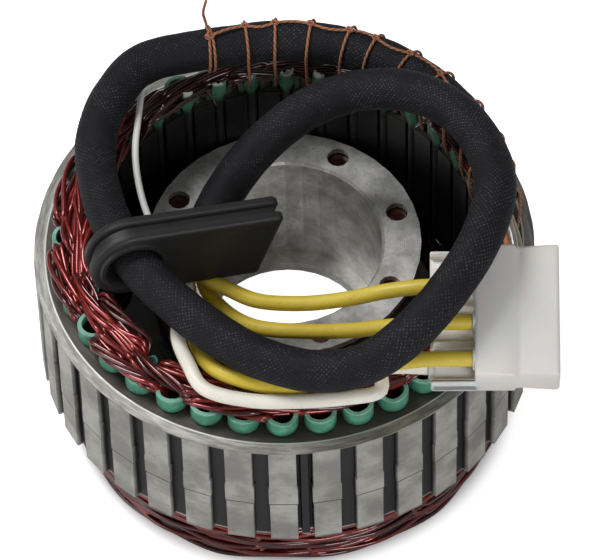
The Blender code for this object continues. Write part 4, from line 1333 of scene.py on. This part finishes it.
class STATOR_OT_lacing(bpy.types.Operator):
    """Lacing cord: hitches round the sleeve and the windings, joined by a run along the top"""

    bl_idname = "stator.lacing"
    bl_label = "Lacing"
    hitches = (4.0, 13.0, 21.5, 32.5, 44.0, 54.5, 65.0, 72.5, 83.0, 92.5, 100.5)
    run_turn = math.radians(74)
    knot = Vector((-0.0174, 0.0466, 0.0734))
    # Points of the loose tail, from the knot
    tail = ((0, 0, 0), (-0.0009, 0.0020, 0.0026), (-0.0014, 0.0026, 0.0056), (-0.0006, 0.0034, 0.0090))

    def execute(self, context):
        shape = Shape()
        radius = sizes().lacing / 2
        reach = sizes().sleeve / 2 + radius * 0.7
        for number, degrees in enumerate(self.hitches):
            self.add_cord(shape, self.hitch_line(degrees, reach), radius, number)
            shape.tube(self.knot_line(degrees, reach, radius), radius, 8, number + 40)
        for number, (first, last) in enumerate(zip(self.hitches, self.hitches[1:])):
            run = []
            for step in range(9):
                t = step / 8
                slack = math.sin(math.pi * t)
                turn = self.run_turn + 0.20 * slack * (1 if number % 2 else -0.6)
                run.append(self.on_sleeve(first + (last - first) * t, turn, reach))
            self.add_cord(shape, run, radius, number + 20)
        self.add_end_knot(shape, radius, reach)
        shape.piece("lacing_cord", lacing_finish(), ["lacing"], 80.0)
        return {"FINISHED"}

    def add_cord(self, shape, points, radius, number):
        shape.tube(even_points(points, 0.0005), radius, 8, number)

    def on_sleeve(self, degrees, turn, reach):
        away = polar(1.0, math.radians(degrees))
        return lashed_point(degrees) + reach * (math.cos(turn) * away + math.sin(turn) * Z)

    def hitch_line(self, degrees, reach):
        """Over the sleeve, then down both sides to the windings and under their edge."""
        inner, outer = [], []
        for points, radius, shift, rise in (
            (inner, 0.0452, 0.4, 0.0030), (inner, 0.0442, 0.4, 0.0085),
            (outer, 0.0546, -0.5, 0.0085), (outer, 0.0541, -0.4, 0.0020),
        ):
            points.append(polar(radius, math.radians(degrees + shift), CORE_TOP + rise))
        over = []
        for step in range(9):
            turn = math.radians(190 - 200 * step / 8)
            over.append(self.on_sleeve(degrees + 0.5 - step / 8, turn, reach))
        return inner + over + outer

    def knot_line(self, degrees, reach, radius):
        """One small turn of cord over the crossing."""
        level = round_way(math.radians(degrees))
        out = self.on_sleeve(degrees, self.run_turn, 1.0) - lashed_point(degrees)
        along = out.cross(level)
        middle = self.on_sleeve(degrees, self.run_turn, reach + radius * 0.9)
        line = []
        for turn in turns(15, 12):
            curl = 2.1 * math.sin(turn) * level + 1.1 * math.cos(turn) * out
            line.append(middle + radius * (curl + math.sin(turn * 0.5) * along))
        return line

    def add_end_knot(self, shape, radius, reach):
        """The wrap, the knot and the loose tail past the last hitch."""
        axis = sleeve_line(0.0010)
        near = nearest(axis, self.knot)
        ahead = heading(axis, near)
        side = Z.cross(ahead).normalized()
        wrap = []
        for step in range(61):
            turn = math.radians(90 + 15 * step)
            slide = 0.0013 * (step / 60 - 0.5) + 0.0006 * math.sin(0.21 * step)
            away = math.cos(turn) * side + math.sin(turn) * ahead.cross(side)
            wrap.append(axis[near] + (sizes().sleeve / 2 + radius * 0.8) * away + slide * ahead)
        shape.tube(wrap, radius, 8, 66)
        for ring in range(3):
            tilt = Matrix.Rotation(0.9 * ring, 4, "Z") @ Matrix.Rotation(0.8 * ring - 0.5, 4, "X")
            line = []
            for turn in turns(19, 18):
                loop = (2.6 * math.cos(turn), 2.2 * math.sin(turn), 0.6 * math.sin(2 * turn))
                line.append(self.knot + tilt @ (radius * Vector(loop)))
            shape.tube(line, radius, 8, 60 + ring)
        self.add_cord(shape, [self.knot + Vector(point) for point in self.tail], radius, 64)
        start = self.on_sleeve(self.hitches[-1], self.run_turn, reach)
        middle = (start + self.knot) / 2 + 0.0006 * Z
        self.add_cord(shape, [start, middle, self.knot], radius, 65)


class STATOR_OT_grommet(bpy.types.Operator):
    """Grooved rubber grommet threaded on the sleeve"""

    bl_idname = "stator.grommet"
    bl_label = "Grommet"
    stop, turned, droop = SLEEVE_ROUTE[5], math.radians(17), math.radians(9)
    half, end, corner, slant = 0.0100, 0.0348, 0.0014, 0.0034
    # Half of the rim's section, as inset and height, and half of the collar's, as reach and height
    edge = (
        (0.0012, -0.0035), (0.0004, -0.0033), (0.0, -0.0028), (0.0, -0.0015), (0.0003, -0.00125),
        (0.0012, -0.0011),
    )
    collar = ((0.0080, 0.0035), (0.0076, 0.0041), (0.0068, 0.0041), (0.0062, 0.0033), (0.0060, 0.0028))

    def execute(self, context):
        coarse = sleeve_line(COARSE_STEP)
        middle = coarse[nearest(coarse, Vector(self.stop))]
        tilt = Matrix.Rotation(self.turned, 4, "Z") @ Matrix.Rotation(self.droop, 4, "Y")
        upright = Matrix.Rotation(math.radians(90), 4, "X")
        place = Matrix.Translation(middle) @ tilt @ upright
        rows = []
        for point, away in self.outline():
            flat = point.normalized()
            row = [(*(point - away * inset), height) for inset, height in mirrored(self.edge)]
            row += [(*(flat * reach), height) for reach, height in mirrored(self.collar)]
            rows.append([place @ Vector(corner) for corner in row])
        shape = Shape()
        shape.grid(rows, looped=True)
        shape.piece("rubber_grommet", rubber_finish(), ["grommet"], 50.0)
        return {"FINISHED"}

    def outline(self):
        """Points and the way out of each: half a circle, then a straight slanted end."""
        half, end, corner, slant = self.half, self.end, self.corner, self.slant
        loop = []
        for step in range(33):
            away = polar(1.0, math.pi * (0.5 + step / 32)).xy
            loop.append((away * half, away))
        for step in range(1, 10):
            loop.append((Vector(((end - slant - corner) * step / 10, -half)), Vector((0, -1))))
        for start, side in ((270, -1), (0, 1)):
            centre = Vector((end - corner - slant * (1 - side) / 2, side * (half - corner)))
            for step in range(7):
                away = polar(1.0, math.radians(start + 90 * step / 6)).xy
                loop.append((centre + away * corner, away))
        for step in range(9, 0, -1):
            loop.append((Vector(((end - corner) * step / 10, half)), Vector((0, 1))))
        return loop


class STATOR_PT_panel(bpy.types.Panel):
    """Lists the pieces of the stator"""

    bl_idname = "STATOR_PT_panel"
    bl_label = "Wound stator"
    bl_space_type = "VIEW_3D"
    bl_region_type = "UI"
    bl_category = "Stator"

    def draw(self, context):
        for operator in OPERATORS:
            self.layout.operator(operator.bl_idname)
        for group in (context.scene.stator_sizes, context.scene.stator_colours):
            box = self.layout.box()
            for name in group.bl_rna.properties.keys():
                if name not in ("rna_type", "name"):
                    box.prop(group, name)


OPERATORS = (
    STATOR_OT_stage, STATOR_OT_sleeve, STATOR_OT_plug, STATOR_OT_contact_tabs,
    STATOR_OT_lead_wires, STATOR_OT_lead_tube, STATOR_OT_joint_leads, STATOR_OT_core,
    STATOR_OT_slot_liners, STATOR_OT_slot_wedges, STATOR_OT_windings, STATOR_OT_twisted_pair,
    STATOR_OT_hub, STATOR_OT_hub_coil, STATOR_OT_lacing, STATOR_OT_grommet,
)
CLASSES = (StatorSizes, StatorColours, *OPERATORS, STATOR_PT_panel)


def register():
    for each in CLASSES:
        bpy.utils.register_class(each)
    bpy.types.Scene.stator_sizes = bpy.props.PointerProperty(type=StatorSizes)
    bpy.types.Scene.stator_colours = bpy.props.PointerProperty(type=StatorColours)


def unregister():
    del bpy.types.Scene.stator_colours
    del bpy.types.Scene.stator_sizes
    for each in reversed(CLASSES):
        bpy.utils.unregister_class(each)


def plain(box):
    return [[float(number) for number in corner] for corner in box]


def main():
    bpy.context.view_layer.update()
    register()
    for operator in OPERATORS:
        group, name = operator.bl_idname.split(".")
        getattr(getattr(bpy.ops, group), name)()


if __name__ == "__main__":
    main()
